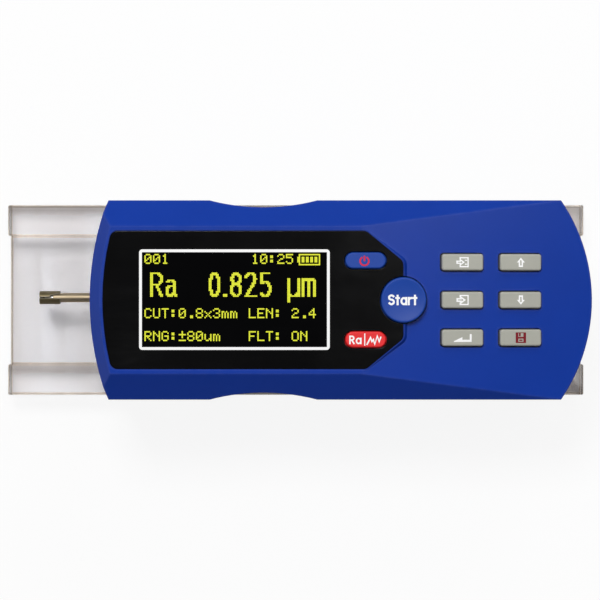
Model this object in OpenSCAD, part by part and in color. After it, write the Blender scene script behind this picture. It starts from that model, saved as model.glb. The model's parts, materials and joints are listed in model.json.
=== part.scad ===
// Surface roughness tester on its clear stand, in millimetres with +Z up.
// The origin is the middle of the stand's underside. +X runs from the stylus to the keypad end.
// Inside the case, lengths run from the front end, heights from the case's underside.

/* [Stand] */
// Length of the clear stand
stand_l = 170; // [160:1:190]
// Width of the clear stand
stand_w = 56; // [52:0.5:64]
// Thickness of the stand's plate
plate_t = 5; // [3:0.5:8]
// Width of each rail
rail_w = 9; // [7:0.5:11]
// Height of each rail above the plate
rail_h = 8; // [6:0.5:12]
// Size of the polished break along the stand's long edges
edge_break = 0.4; // [0.2:0.1:0.8]
// Distance from the case's rear end to the stand's rear end
rear_gap = 1.6; // [0.5:0.1:6]

/* [Case] */
// Length of the case
case_l = 141; // [139:0.5:150]
// Width of the case
case_w = 56; // [55:0.5:60]
// Height of the case at the window
case_h = 48; // [47:0.5:54]
// Thickness of the case walls
wall = 2.2; // [1.8:0.1:2.6]
// Height of the line where cover and lower case part
parting_h = 16; // [14:0.5:18]
// Radius of the front end seen from above
front_r = 80; // [65:1:110]
// Radius of the rear end seen from above
rear_r = 49; // [44:1:70]
// Width of the shoulder chamfers seen from above
chamfer_w = 7.4; // [6.6:0.2:7.8]
// Height of the shoulder chamfers
chamfer_h = 7; // [5:0.5:9]
// Width of the front bevel seen from above
bevel_w = 3.1; // [2:0.1:3.4]
// Height of the front bevel
bevel_h = 3.5; // [3:0.5:7]
// Length at which the keypad plane starts to fall
slope_u = 76; // [72:0.5:80]
// Length at the middle of the finger scallops
grip_u = 48.6; // [44:0.2:54]
// Length of each finger scallop
grip_chord = 30.2; // [24:0.2:36]
// Depth of each finger scallop
grip_depth = 2; // [1:0.1:3]
// Height of the tongue that locates the cover on the lower case
lip_h = 1.4; // [1:0.1:2]
// Clearance round the tongue
lip_gap = 0.1; // [0.05:0.05:0.2]
// Height and depth of the groove at the parting line
groove = 0.4; // [0.2:0.1:0.6]

/* [Base] */
// Thickness of the base plate
base_t = 2.5; // [2:0.25:3]
// Distance of the base plate's edge from the case outline
base_inset = 0.6; // [0.3:0.1:1]
// Diameter of the case screw posts
post_d = 7; // [6:0.5:7.5]
// Length at the front pair of posts
front_post_u = 12; // [11.5:0.5:14]
// Length at the rear pair of posts
rear_post_u = 121; // [119:0.5:122]
// Length of the posts in the cover
post_l = 12; // [9:0.5:13]
// Diameter of the case screws
case_screw_d = 3; // [2.5:0.1:3.2]
// Diameter of the case screw heads
case_head_d = 5.6; // [5:0.1:6]
// Depth of the screw heads below the base plate's face
screw_sink = 0.1; // [0.05:0.05:0.2]

/* [Window] */
// Distance from the case's front end to the window
window_front = 3.9; // [3.7:0.1:5]
// Length at the window's rear edge
window_end = 87.6; // [86:0.2:90]
// Width of the window
window_w = 38.4; // [36:0.2:38.8]
// Thickness of the window
window_t = 1.2; // [0.8:0.1:1.4]
// Length of the cut corners at the window's rear
cut_l = 10; // [6:0.5:11]
// Width of the cut corners at the window's rear
cut_w = 8.4; // [5:0.2:9]
// Radius of the window's corners
window_r = 2.2; // [1:0.1:3]
// Clearance round the window in its recess
window_gap = 0.1; // [0.05:0.05:0.2]
// Width of the rim at the foot of the window's raised end
rim_w = 1.3; // [0.9:0.1:1.6]
// Width of the same rim at its top
rim_top = 0.3; // [0.2:0.1:0.6]

/* [Display] */
// Length at the middle of the display
display_u = 40.6; // [40:0.2:41.4]
// Length of the display's glass
glass_l = 55; // [50:0.5:57]
// Width of the display's glass
glass_w = 29; // [26:0.5:31]
// Border of the display's carrier round its glass
carrier_w = 1.5; // [1:0.1:2]
// Height of the display's carrier
carrier_h = 4.9; // [4:0.1:5.2]
// Gap between glass and window
glass_gap = 0.3; // [0.2:0.1:0.5]

/* [Keys] */
// Length of the two pill keys
pill_l = 11.4; // [9:0.1:12]
// Width of the two pill keys
pill_w = 4.5; // [4:0.1:5.4]
// Length at the middle of the pill keys
pill_u = 77.1; // [76.6:0.1:77.8]
// Distance of the pill keys from the middle
pill_y = 11; // [10.6:0.1:11.4]
// Height of the pill keys above the window
pill_rise = 0.9; // [0.6:0.1:1.4]
// Diameter of the start key
start_d = 12.7; // [11:0.1:13]
// Length at the middle of the start key
start_u = 87.7; // [87:0.1:88.4]
// Height of the start key above the window
start_rise = 1; // [0.6:0.1:1.6]
// Depth of the dish in the start key
dish = 0.35; // [0.1:0.05:0.5]
// Length of the grey keys
key_l = 11.7; // [10:0.1:12.6]
// Width of the grey keys
key_w = 4.6; // [4:0.1:5.6]
// Corner radius of the grey keys
key_r = 0.7; // [0.5:0.1:1.5]
// Length at the middle of the first column of grey keys
key_u = 104.1; // [103.4:0.1:104.6]
// Distance between the two columns
key_pitch_u = 16.5; // [16.2:0.1:17]
// Distance between the three rows
key_pitch_y = 10.55; // [9.8:0.05:10.8]
// Height of the grey keys above the keypad plane
key_rise = 1.6; // [0.8:0.1:1.8]
// Bevel round the top of the keys
key_bevel = 0.3; // [0.2:0.05:0.6]
// Gap round each key
key_gap = 0.3; // [0.2:0.05:0.4]
// Travel of the keys
key_travel = 0.6; // [0.4:0.05:0.8]
// Width of the flange that holds each key in
flange_w = 0.9; // [0.6:0.1:1]
// Thickness of that flange
flange_t = 0.8; // [0.6:0.1:1.2]
// Gap between flange and cover
flange_gap = 0.3; // [0.2:0.05:0.4]
// Room left under a key that is pressed home
press_gap = 0.15; // [0.05:0.05:0.25]

/* [Boards] */
// Thickness of the circuit boards
board_t = 1.6; // [1:0.1:2]
// Side of the square switches
switch_a = 6; // [5:0.1:6.2]
// Height of the switch bodies
switch_h = 3.4; // [3:0.1:3.8]
// Diameter of the switch plungers
plunger_d = 3; // [2.4:0.1:3.4]
// Height of the switch plungers
plunger_h = 1; // [0.6:0.1:1.4]
// Diameter of the bosses that carry the upper boards
boss_d = 5; // [4.4:0.1:5.4]
// Diameter of the board screws
board_screw_d = 2; // [1.6:0.1:2.2]
// Length of the board screws
board_screw_l = 5; // [4:0.5:5.5]
// Distance of the upper board bosses from the middle
boss_y = 18.6; // [18.5:0.1:18.9]
// Height of the main board above the base plate's underside
main_z = 30; // [29:0.5:31]
// Length of the main board
main_l = 62; // [58:0.5:64]
// Length at the front edge of the main board
main_u = 24; // [23:0.5:26]
// Distance of the main board's near edge from the middle
main_near = 18; // [17:0.5:18.5]
// Length of the socket that lies on the main board
socket_seat = 2.5; // [2:0.1:3.5]
// Length at the middle of the data socket
socket_u = 74; // [72:0.5:76]
// Width of the data socket
socket_w = 7.7; // [7:0.1:8]
// Height of the data socket
socket_h = 3.9; // [3.5:0.1:4.2]
// Depth of the data socket
socket_l = 9.2; // [9:0.1:10]
// Distance of the data socket's mouth from the case side
socket_in = 0.4; // [0.2:0.1:0.8]
// Thickness of the data socket's shell
socket_shell = 0.4; // [0.3:0.05:0.5]

/* [Battery] */
// Length of the battery
battery_l = 44; // [38:0.5:44]
// Width of the battery
battery_w = 34; // [30:0.5:35]
// Thickness of the battery
battery_h = 5.8; // [5:0.1:6]
// Length at the front edge of the battery
battery_u = 87; // [86.5:0.5:88]

/* [Drive] */
// Stroke of the pickup
stroke = 17.5; // [15:0.1:17.5]
// Length at the front plate of the drive frame
frame_u = 28; // [27.6:0.2:28]
// Thickness of the frame's upright plates
upright_t = 3; // [2.5:0.1:3]
// Width of the drive frame
frame_w = 28; // [27:0.5:29]
// Height of the drive frame's top
frame_z = 24; // [23.5:0.25:25]
// Thickness of the frame's bridge
bridge_t = 2; // [1.5:0.1:2.2]
// Length of the frame's feet
foot_l = 6; // [5:0.1:6]
// Thickness of the frame's feet
foot_t = 3; // [2:0.1:3.5]
// Distance of the feet from the middle
foot_y = 5.5; // [5:0.1:6]
// Diameter of the frame screws
frame_screw_d = 2.5; // [2:0.1:2.6]
// Diameter of the frame screw heads
frame_head_d = 4.7; // [4.2:0.1:4.8]
// Height of the lead screw
screw_z = 15; // [14.8:0.1:15.2]
// Diameter of the lead screw
screw_d = 3; // [2.5:0.1:3.2]
// Diameter of the guide rods
rod_d = 3; // [2.5:0.1:3.2]
// Distance of the guide rods from the frame's sides
rod_in = 4.5; // [4.2:0.1:4.8]
// Diameter of the screw bearings
bearing_d = 6; // [5.5:0.1:6.4]
// Length of the carriage
carriage_l = 18; // [16:0.5:18]
// Distance of the carriage's sides from the frame's sides
carriage_in = 1; // [0.8:0.1:1.25]
// Gap between the carriage at rest and the front plate
home_gap = 6; // [5.6:0.1:6]
// Gap behind the carriage at the end of its stroke
end_gap = 3.5; // [3:0.1:3.5]
// Gap between the carriage and what lies over and under it
slide_gap = 0.4; // [0.3:0.1:0.6]
// Diameter of the bushes
bush_d = 5; // [4.6:0.1:5.2]
// Length of the bushes
bush_l = 5; // [4:0.5:6]
// Running clearance of a shaft in its bore, at the radius
run_gap = 0.05; // [0.02:0.01:0.08]
// Clearance of a fixed pin in its bore, at the radius
fit_gap = 0.02; // [0.01:0.01:0.04]
// Diameter of the drive nut
nut_d = 7; // [6:0.1:7.4]
// Length of the drive nut in the carriage
nut_l = 8; // [6:0.5:10]
// Diameter of the drive nut's flange
nut_flange_d = 10; // [9:0.1:10.4]
// Thickness of the drive nut's flange
nut_flange_t = 2; // [1.5:0.1:2.2]
// Room for the coupling between the rear plate and the motor plate
coupling_room = 10; // [9.5:0.1:10]
// Diameter of the shaft coupling
coupling_d = 7; // [6:0.1:8]
// Length of the shaft coupling
coupling_l = 8; // [7:0.1:8]
// Diameter of the gear motor
motor_d = 12; // [11:0.1:12.2]
// Length of the motor's gearhead
gearhead_l = 10; // [8:0.5:12]
// Length of the motor's can
can_l = 17; // [14:0.5:17]
// Diameter of the motor shaft
shaft_d = 2; // [1.6:0.1:2.2]

/* [Pickup] */
// Reach of the pickup beyond the case's front end
reach = 17.4; // [17.2:0.1:20]
// Height of the pickup's axis above the case's underside
pick_z = 6.5; // [6.4:0.1:6.8]
// Distance of the pickup's axis from the middle, towards the far side
pick_y = 0.7; // [-1:0.1:1]
// Diameter of the skid head
head_d = 3.9; // [3.8:0.1:4.4]
// Length of the skid head
head_l = 6; // [5.5:0.1:7]
// Length of the skid below the head
skid_l = 3.8; // [3.4:0.1:4.4]
// Width of the skid
skid_w = 2.4; // [2.2:0.1:2.8]
// Radius of the skid's sole
skid_r = 9; // [6:0.5:14]
// Width of the slot in the head's top
slot_w = 0.4; // [0.3:0.05:1.1]
// Diameter of the pickup tube
tube_d = 2.75; // [2.6:0.05:3]
// Wall of the pickup tube
tube_wall = 0.3; // [0.2:0.05:0.35]
// Length of the tube inside the head, and inside the pickup body
tube_seat = 2; // [1.5:0.1:2.4]
// Diameter of the pickup body
body_d = 6; // [5.8:0.1:6.2]
// Wall of the pickup body
body_wall = 0.5; // [0.4:0.05:0.6]
// Length at the front of the pickup body
body_u = 6; // [5:0.1:7]
// Diameter of the pickup's plug
plug_d = 4; // [3.6:0.1:4.2]
// Length of the pickup's plug
plug_l = 4.5; // [3.5:0.1:5]
// Diameter of the pickup socket in the carriage
jack_d = 6; // [5.6:0.1:6]
// Length of the pickup socket
jack_l = 8; // [7:0.1:9]
// Gap between the pickup body and its socket
jack_gap = 0.3; // [0.2:0.1:0.5]
// Room round the pickup where it passes through a wall
pass_gap = 0.5; // [0.4:0.1:0.6]
// Diameter of the lever inside the pickup
lever_d = 1; // [0.8:0.05:1.1]
// Distance of the stylus from the head's front face
stylus_in = 2.1; // [1.9:0.1:2.4]
// Diameter of the stylus shank
stylus_d = 0.7; // [0.5:0.05:0.8]
// Diameter of the hole that the stylus stands in
stylus_hole_d = 1.5; // [1.4:0.05:1.6]
// Length of the diamond tip
tip_l = 0.5; // [0.4:0.05:0.7]
// Distance by which the tip stands below the skid
tip_out = 0.06; // [0.04:0.01:0.1]
// Distance of the lever's pivot from the front of the pickup body
pivot_in = 5; // [4.5:0.1:6]
// Diameter of the pivot pin
pivot_d = 0.8; // [0.6:0.05:0.9]
// Diameter of the lever's hub
hub_d = 2.2; // [2:0.1:2.4]
// Width of the lever's hub
hub_w = 1.6; // [1.2:0.1:2]
// Distance from the pivot to the middle of the coils
coil_in = 9; // [8:0.5:10]
// Length of the coils
coil_l = 8; // [6:0.5:8]

/* [Hidden] */
$fn = 64;

// Overlap that keeps cuts and joins clean
eps = 0.01;
// Sides of the circles in rounded outlines
round_n = 32;
// Height of the round screw heads
screw_head_h = board_screw_d * 0.6;

// Place of the case on the stand
seat_z = plate_t + rail_h;
case_x = stand_l / 2 - rear_gap - case_l;

// Shape of the case
corner_u = case_l - rear_r + sqrt(pow(rear_r, 2) - pow(case_w / 2, 2));
slope_deg = atan(chamfer_h / (corner_u - slope_u));
chamfer_deg = atan(chamfer_h / chamfer_w);
bevel_deg = atan(bevel_h / bevel_w);
grip_r = (pow(grip_chord / 2, 2) + pow(grip_depth, 2)) / (2 * grip_depth);
post_y = case_w / 2 - wall - post_d / 2 + 0.3;
posts = [for (u = [front_post_u, rear_post_u], side = [-1, 1]) [u, side * post_y]];

// Stack of the keys, measured down from the outer face
flange_top = wall + flange_gap;
flange_low = flange_top + flange_t;
plunger_top = flange_low + key_travel + press_gap;
board_down = plunger_top + plunger_h + switch_h;
recess_z = case_h - window_t - window_gap / 2;

// Upper boards
display_board_u = 7;
display_board_l = start_u + switch_a / 2 + 1 - display_board_u;
display_board_z = case_h - board_down - board_t;
display_bosses = [for (u = [display_board_u + 4.5, display_board_u + display_board_l - 4.5], side = [-1, 1])
  [u, side * boss_y]];
upper_board_w = 2 * boss_y + boss_d;
key_s = (key_u - slope_u) / cos(slope_deg);
key_columns = [key_s, key_s + key_pitch_u];
key_board_s = key_s - key_l / 2 - 1.5;
key_board_l = key_pitch_u + key_l + 3;
boss_in = 3.2;
key_bosses = [for (s = [key_board_s + boss_in, key_board_s + key_board_l - boss_in], side = [-1, 1])
  [s, side * boss_y]];
key_places = [for (s = key_columns, row = [1, 0, -1]) [s, row * key_pitch_y]];

// Drive train
carriage_u = frame_u + upright_t + home_gap;
rear_u = carriage_u + carriage_l + stroke + end_gap;
motor_plate_u = rear_u + upright_t + coupling_room;
frame_end = motor_plate_u + upright_t;
rod_y = frame_w / 2 - rod_in;
carriage_w = frame_w - 2 * carriage_in;
carriage_low = base_t + slide_gap;
carriage_top = frame_z - bridge_t - slide_gap - 1;
foot_screw_y = frame_w / 2 - 4;
foot_screws = [for (u = [frame_u - foot_l / 2, rear_u + upright_t + foot_l / 2], side = [-1, 1])
  [u, side * foot_screw_y]];
standoff_h = main_z - frame_z;
standoff_y = frame_w / 2 - 3;
standoffs = [for (u = [frame_u + 6, rear_u - 4], side = [-1, 1]) [u, side * standoff_y]];
screw_start = frame_u + 0.3;
coupling_u = motor_plate_u - screw_head_h - 0.4 - coupling_l;
screw_end = coupling_u + coupling_l / 2 - 0.2;
motor_u = frame_end;
motor_screw_y = 4.2;

// Pickup
head_u = -reach;
body_l = carriage_u - 0.7 - body_u;
jack_u = body_u + body_l + jack_gap;
tube_u = head_u + head_l - tube_seat;
tube_end = body_u + tube_seat;
tube_bore = tube_d - 2 * tube_wall;
body_bore = body_d - 2 * body_wall;
stylus_u = head_u + stylus_in;
pivot_u = body_u + pivot_in;
coil_u = pivot_u + coil_in - coil_l / 2;
lever_end = coil_u + coil_l;
pass_d = body_d + 2 * pass_gap;
skid_pass_w = skid_w + 4 * pass_gap;
notch_end = head_u + stroke + head_l + 3;

// Colours
case_blue = [0.11, 0.2, 0.6];
panel_black = [0.03, 0.03, 0.035];
key_grey = [0.5, 0.49, 0.47];
key_blue = [0.16, 0.25, 0.66];
key_red = [0.66, 0.1, 0.12];
acrylic = [0.82, 0.86, 0.88, 0.4];
board_green = [0.05, 0.3, 0.17];
steel = [0.62, 0.62, 0.64];
alloy = [0.72, 0.73, 0.75];
dark_alloy = [0.14, 0.14, 0.15];
brass = [0.78, 0.62, 0.3];
black_plastic = [0.06, 0.06, 0.06];
copper = [0.72, 0.4, 0.2];
diamond = [0.85, 0.85, 0.8];

// Chips on the main board: place along and across it, length, width and height
main_chips = [[-6, -6, 12, 12, 1.4], [-18, -4, 8, 8, 1.2], [10, -3, 5, 6, 1.2]];
// Length, width and height of the plug on the main board
board_plug = [16, 4, 3.5];
// Distance of that plug from the board's near edge
plug_in = 1;
// Diameter, height and spacing of the capacitors on the main board
cap_d = 4;
cap_h = 3.2;
cap_pitch = 7;

// Moves a shape from the case's own lengths and heights to its place on the stand
module in_case() {
  translate([case_x, 0, seat_z]) children();
}

// Places a shape on the keypad plane, s along the fall and z out of the plane
module on_slope(s, y, z) {
  translate([slope_u, 0, case_h]) rotate([0, slope_deg, 0]) translate([s, y, z]) children();
}

// Round bar along +X
module bar(d, l) {
  rotate([0, 90, 0]) cylinder(d = d, h = l);
}

// Outline with round corners
module round_rect(l, w, r) {
  square([l - 2 * r, w], center = true);
  square([l, w - 2 * r], center = true);
  for (sx = [-1, 1], sy = [-1, 1]) translate([sx * (l / 2 - r), sy * (w / 2 - r)]) circle(r = r);
}

// Screw with a countersunk head at its foot and a hexagon socket, pointing up
module countersunk(head_d, shank_d, l) {
  sink = (head_d - shank_d) / 2;
  difference() {
    union() {
      cylinder(d1 = head_d, d2 = shank_d, h = sink);
      cylinder(d = shank_d, h = l);
    }
    translate([0, 0, -eps]) cylinder(d = shank_d * 0.62, h = sink, $fn = 6);
  }
}

// Room for that screw
module countersunk_hole(head_d, shank_d, l) {
  sink = (head_d - shank_d) / 2;
  clear = 2 * run_gap;
  translate([0, 0, -1]) cylinder(d = head_d + clear, h = 1 + eps);
  cylinder(d1 = head_d + clear, d2 = shank_d + clear, h = sink);
  translate([0, 0, -1]) cylinder(d = shank_d + clear, h = l + 1);
}

// Screw with a round head above z = 0 and its shank below
module pan_screw(d, l) {
  difference() {
    union() {
      cylinder(d = d * 1.9, h = screw_head_h);
      translate([0, 0, -l]) cylinder(d = d, h = l + eps);
    }
    translate([0, 0, d * 0.25]) cylinder(d = d * 0.8, h = d, $fn = 6);
  }
}

// Plan of the case drawn in by an inset, between two heights
module case_plan(inset, low, high) {
  h = high - low;
  side = case_w / 2 - inset;
  translate([0, 0, low]) difference() {
    intersection() {
      union() {
        translate([front_r, 0, 0]) cylinder(r = front_r - inset, h = h);
        translate([front_r, -case_w, 0]) cube([case_l, 2 * case_w, h]);
      }
      union() {
        translate([case_l - rear_r, 0, 0]) cylinder(r = rear_r - inset, h = h);
        translate([-1, -case_w, 0]) cube([case_l - rear_r + 1, 2 * case_w, h]);
      }
      translate([-1, -side, 0]) cube([case_l + 2, 2 * side, h]);
    }
    for (turn = [-1, 1]) {
      translate([grip_u, turn * (case_w / 2 - grip_depth + grip_r), -1])
        cylinder(r = grip_r + inset, h = h + 2);
    }
  }
}

// Section across the case: upright sides, chamfered shoulders and a flat top
module case_section(inset) {
  side = case_w / 2 - inset;
  top_y = case_w / 2 - chamfer_w - inset * tan(chamfer_deg / 2);
  top_z = case_h - inset;
  side_z = case_h - chamfer_h - inset * tan((90 - chamfer_deg) / 2);
  rotate([90, 0, 90]) translate([0, 0, -1]) linear_extrude(case_l + 2) polygon([[-side, -1], [side, -1],
    [side, side_z], [top_y, top_z], [-top_y, top_z], [-side, side_z]]);
}

// Profile along the case: flat over the display, then falling over the keypad
module case_profile(inset) {
  turn_u = slope_u - inset * tan(slope_deg / 2);
  top_z = case_h - inset;
  end_z = top_z - (case_l + 1 - turn_u) * tan(slope_deg);
  rotate([90, 0, 0]) translate([0, 0, -case_w]) linear_extrude(2 * case_w)
    polygon([[-1, -1], [case_l + 1, -1], [case_l + 1, end_z], [turn_u, top_z], [-1, top_z]]);
}

// Bevel along the front end
module case_front(inset) {
  low_z = case_h - bevel_h - inset * tan((90 - bevel_deg) / 2);
  top_z = case_h - inset;
  top_r = front_r - bevel_w - inset * tan(bevel_deg / 2);
  translate([front_r, 0, -1]) cylinder(r = front_r - inset, h = low_z + 1);
  translate([front_r, 0, low_z]) cylinder(r1 = front_r - inset, r2 = top_r, h = top_z - low_z);
  translate([front_r, -case_w, -1]) cube([case_l, 2 * case_w, top_z + 1]);
}

// Whole form of the case drawn in by an inset
module case_form(inset) {
  intersection() {
    case_plan(inset, 0, case_h - inset);
    case_section(inset);
    case_profile(inset);
    case_front(inset);
  }
}

// Corners of the window at its rear, where two corners are cut
module window_rear(grow) {
  side_y = window_w / 2 - window_r;
  for (side = [-1, 1]) {
    translate([window_end - cut_l - window_r / 2, side * side_y]) circle(r = window_r + grow, $fn = round_n);
    translate([window_end - window_r, side * (side_y - cut_w + window_r / 2)])
      circle(r = window_r + grow, $fn = round_n);
  }
}

// Outline of the window: a curved front edge, straight sides and two cut corners at the rear
module window_outline(grow) {
  arc_r = front_r - window_front - window_r;
  arc_deg = asin((window_w / 2 - window_r) / arc_r);
  hull() {
    for (i = [-4 : 4]) {
      translate([front_r - arc_r * cos(i * arc_deg / 4), arc_r * sin(i * arc_deg / 4)])
        circle(r = window_r + grow, $fn = round_n);
    }
    window_rear(grow);
  }
}

// Outline of a pill key
module pill_outline(grow) {
  square([pill_l - pill_w, pill_w + 2 * grow], center = true);
  for (side = [-1, 1]) translate([side * (pill_l - pill_w) / 2, 0]) circle(d = pill_w + 2 * grow);
}

// Outline of a grey key
module key_outline(grow) {
  round_rect(key_l + 2 * grow, key_w + 2 * grow, key_r + grow);
}

// Clear stand: the plate
module stand_plate() {
  color(acrylic) rotate([90, 0, 90]) translate([0, 0, -stand_l / 2]) linear_extrude(stand_l)
    polygon([[-stand_w / 2 + edge_break, 0], [stand_w / 2 - edge_break, 0], [stand_w / 2, edge_break],
      [stand_w / 2, plate_t], [-stand_w / 2, plate_t], [-stand_w / 2, edge_break]]);
}

// Clear stand: one rail, side is 1 for the far one and -1 for the near one
module rail(side) {
  out_y = stand_w / 2;
  in_y = out_y - rail_w;
  color(acrylic) rotate([90, 0, 90]) translate([0, 0, -stand_l / 2]) linear_extrude(stand_l)
    polygon([[side * in_y, plate_t], [side * out_y, plate_t], [side * out_y, seat_z - edge_break],
      [side * (out_y - edge_break), seat_z], [side * (in_y + edge_break), seat_z],
      [side * in_y, seat_z - edge_break]]);
}

module far_rail() {
  rail(1);
}

module near_rail() {
  rail(-1);
}

// Flat plate that the tester stands on and that carries its drive
module base_plate() {
  color(dark_alloy) in_case() difference() {
    case_plan(base_inset, 0, base_t);
    translate([-1, pick_y - skid_pass_w / 2, -1]) cube([notch_end + 1, skid_pass_w, base_t + 2]);
    for (p = posts) translate([p[0], p[1], screw_sink])
      countersunk_hole(case_head_d, case_screw_d, base_t + 1);
    for (p = foot_screws) translate([p[0], p[1], screw_sink])
      countersunk_hole(frame_head_d, frame_screw_d, base_t + 1);
  }
}

// Lower half of the moulded case
module lower_case() {
  color(case_blue) in_case() difference() {
    union() {
      difference() {
        case_plan(0, base_t, parting_h);
        case_plan(wall, base_t - 1, parting_h + 1);
      }
      difference() {
        case_plan(wall / 2 + lip_gap, parting_h - 1, parting_h + lip_h);
        case_plan(wall, parting_h - 2, parting_h + lip_h + 1);
        for (p = posts) translate([p[0], p[1], parting_h]) cylinder(d = post_d + 2 * lip_gap, h = lip_h + 1);
      }
      intersection() {
        case_plan(wall / 2, base_t, parting_h);
        for (p = posts) translate([p[0], p[1], base_t]) cylinder(d = post_d, h = parting_h - base_t);
      }
    }
    for (p = posts) translate([p[0], p[1], base_t - 1])
      cylinder(d = case_screw_d + 2 * run_gap, h = parting_h);
    translate([-1, pick_y, pick_z]) bar(pass_d, notch_end + 1);
    translate([-1, pick_y - skid_pass_w / 2, base_t - 1])
      cube([notch_end + 1, skid_pass_w, pick_z - base_t + 1]);
  }
}

// Flange of the start key: the front half only, because the keypad plane falls away behind it
module start_flange(grow, h) {
  flange_d = start_d + 2 * flange_w + 2 * grow;
  intersection() {
    cylinder(d = flange_d, h = h);
    translate([-flange_d, -flange_d, 0]) cube([flange_d + grow, 2 * flange_d, h]);
  }
}

// Rooms that the keys need in the cover, and the bosses under it
module flat_key_room() {
  low = case_h - board_down;
  for (side = [-1, 1]) translate([pill_u, side * pill_y, 0]) {
    translate([0, 0, low]) linear_extrude(case_h + 5 - low) pill_outline(key_gap);
    translate([0, 0, low]) linear_extrude(case_h - wall - low) pill_outline(flange_w + key_gap);
  }
  translate([start_u, 0, low]) {
    cylinder(d = start_d + 2 * key_gap, h = case_h + 5 - low);
    start_flange(key_gap, case_h - wall - low);
  }
}

module grey_key_room() {
  for (p = key_places) on_slope(p[0], p[1], -board_down) linear_extrude(board_down + 5) key_outline(key_gap);
}

module upper_bosses() {
  for (p = display_bosses) translate([p[0], p[1], case_h - board_down]) cylinder(d = boss_d, h = board_down);
  for (p = key_bosses) on_slope(p[0], p[1], -board_down) cylinder(d = boss_d, h = board_down);
  for (p = posts) translate([p[0], p[1], parting_h + lip_gap]) cylinder(d = post_d, h = post_l);
}

module boss_pilots() {
  pilot = board_screw_d + 2 * fit_gap;
  depth = board_screw_l - board_t + 0.3;
  for (p = display_bosses) translate([p[0], p[1], case_h - board_down - 1])
    cylinder(d = pilot, h = depth + 1);
  for (p = key_bosses) on_slope(p[0], p[1], -board_down - 1) cylinder(d = pilot, h = depth + 1);
  for (p = posts) translate([p[0], p[1], parting_h - 1])
    cylinder(d = case_screw_d + 2 * fit_gap, h = post_l - 1);
}

// Drafted rim that carries the window where the keypad plane falls away
module window_rim() {
  edge_h = window_t / 4;
  hull() {
    translate([0, 0, case_h - wall]) linear_extrude(edge_h) window_rear(rim_w);
    translate([0, 0, case_h - edge_h]) linear_extrude(edge_h) window_rear(rim_top);
  }
}

// Cover: the shell, its raised window seat, its bosses and every opening
module upper_cover() {
  color(case_blue) in_case() difference() {
    union() {
      difference() {
        union() {
          case_form(0);
          window_rim();
        }
        case_form(wall);
      }
      intersection() {
        case_form(wall / 2);
        upper_bosses();
      }
    }
    translate([-2, -case_w, -2]) cube([case_l + 4, 2 * case_w, parting_h + 2]);
    difference() {
      case_plan(wall / 2, parting_h - 1, parting_h + lip_h + lip_gap);
      for (p = posts) translate([p[0], p[1], 0]) cylinder(d = post_d, h = case_h);
    }
    difference() {
      translate([-2, -case_w, parting_h - 1]) cube([case_l + 4, 2 * case_w, groove + 1]);
      case_plan(groove, parting_h - 2, parting_h + groove + 1);
    }
    translate([0, 0, recess_z]) linear_extrude(wall) window_outline(window_gap);
    translate([display_u, 0, case_h - wall - 1]) linear_extrude(wall + 1)
      square([glass_l + 1, glass_w + 1], center = true);
    flat_key_room();
    grey_key_room();
    boss_pilots();
    translate([socket_u - socket_w / 2 - lip_gap, 0, main_z + board_t - lip_gap])
      cube([socket_w + 2 * lip_gap, case_w, socket_h + 2 * lip_gap]);
  }
}

// Four screws that hold base plate, lower case and cover together
module case_screws() {
  color(steel) in_case() for (p = posts) translate([p[0], p[1], screw_sink])
    countersunk(case_head_d, case_screw_d, parting_h + post_l - 4);
}

// Black panel over the display
module display_window() {
  color(panel_black) in_case() difference() {
    translate([0, 0, recess_z]) linear_extrude(case_h - recess_z) window_outline(0);
    for (side = [-1, 1]) translate([pill_u, side * pill_y, 0])
      linear_extrude(case_h + 1) pill_outline(key_gap);
    translate([start_u, 0, 0]) cylinder(d = start_d + 2 * key_gap, h = case_h + 1);
  }
}

// Display: a carrier on its board and the glass that fills the opening under the window
module display_module() {
  low = case_h - board_down;
  color(black_plastic) in_case() translate([display_u, 0, low]) {
    linear_extrude(carrier_h) square([glass_l + 2 * carrier_w, glass_w + 2 * carrier_w], center = true);
    linear_extrude(recess_z - glass_gap - low) square([glass_l, glass_w], center = true);
  }
}

// Board of the display and its three switches
module display_board() {
  color(board_green) in_case() difference() {
    translate([display_board_u, -upper_board_w / 2, display_board_z])
      cube([display_board_l, upper_board_w, board_t]);
    for (p = display_bosses) translate([p[0], p[1], display_board_z - 1])
      cylinder(d = board_screw_d + 2 * run_gap, h = board_t + 2);
  }
}

module push_switch() {
  translate([-switch_a / 2, -switch_a / 2, 0]) cube([switch_a, switch_a, switch_h]);
  cylinder(d = plunger_d, h = switch_h + plunger_h);
}

module display_switches() {
  color(black_plastic) in_case() {
    for (side = [-1, 1]) translate([pill_u, side * pill_y, case_h - board_down]) push_switch();
    translate([start_u, 0, case_h - board_down]) push_switch();
  }
}

module display_screws() {
  color(steel) in_case() for (p = display_bosses) translate([p[0], p[1], display_board_z]) mirror([0, 0, 1])
    pan_screw(board_screw_d, board_screw_l);
}

// Pill key: a bevelled cap on a stem with a flange under the cover
module pill_key(side, tint) {
  color(tint) in_case() translate([pill_u, side * pill_y, case_h]) {
    hull() {
      linear_extrude(pill_rise - key_bevel) pill_outline(0);
      linear_extrude(pill_rise) pill_outline(-key_bevel);
    }
    translate([0, 0, -flange_top - eps]) linear_extrude(flange_top + 2 * eps) pill_outline(0);
    translate([0, 0, -flange_low]) linear_extrude(flange_t) pill_outline(flange_w);
  }
}

module power_key() {
  pill_key(1, key_blue);
}

module profile_key() {
  pill_key(-1, key_red);
}

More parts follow.
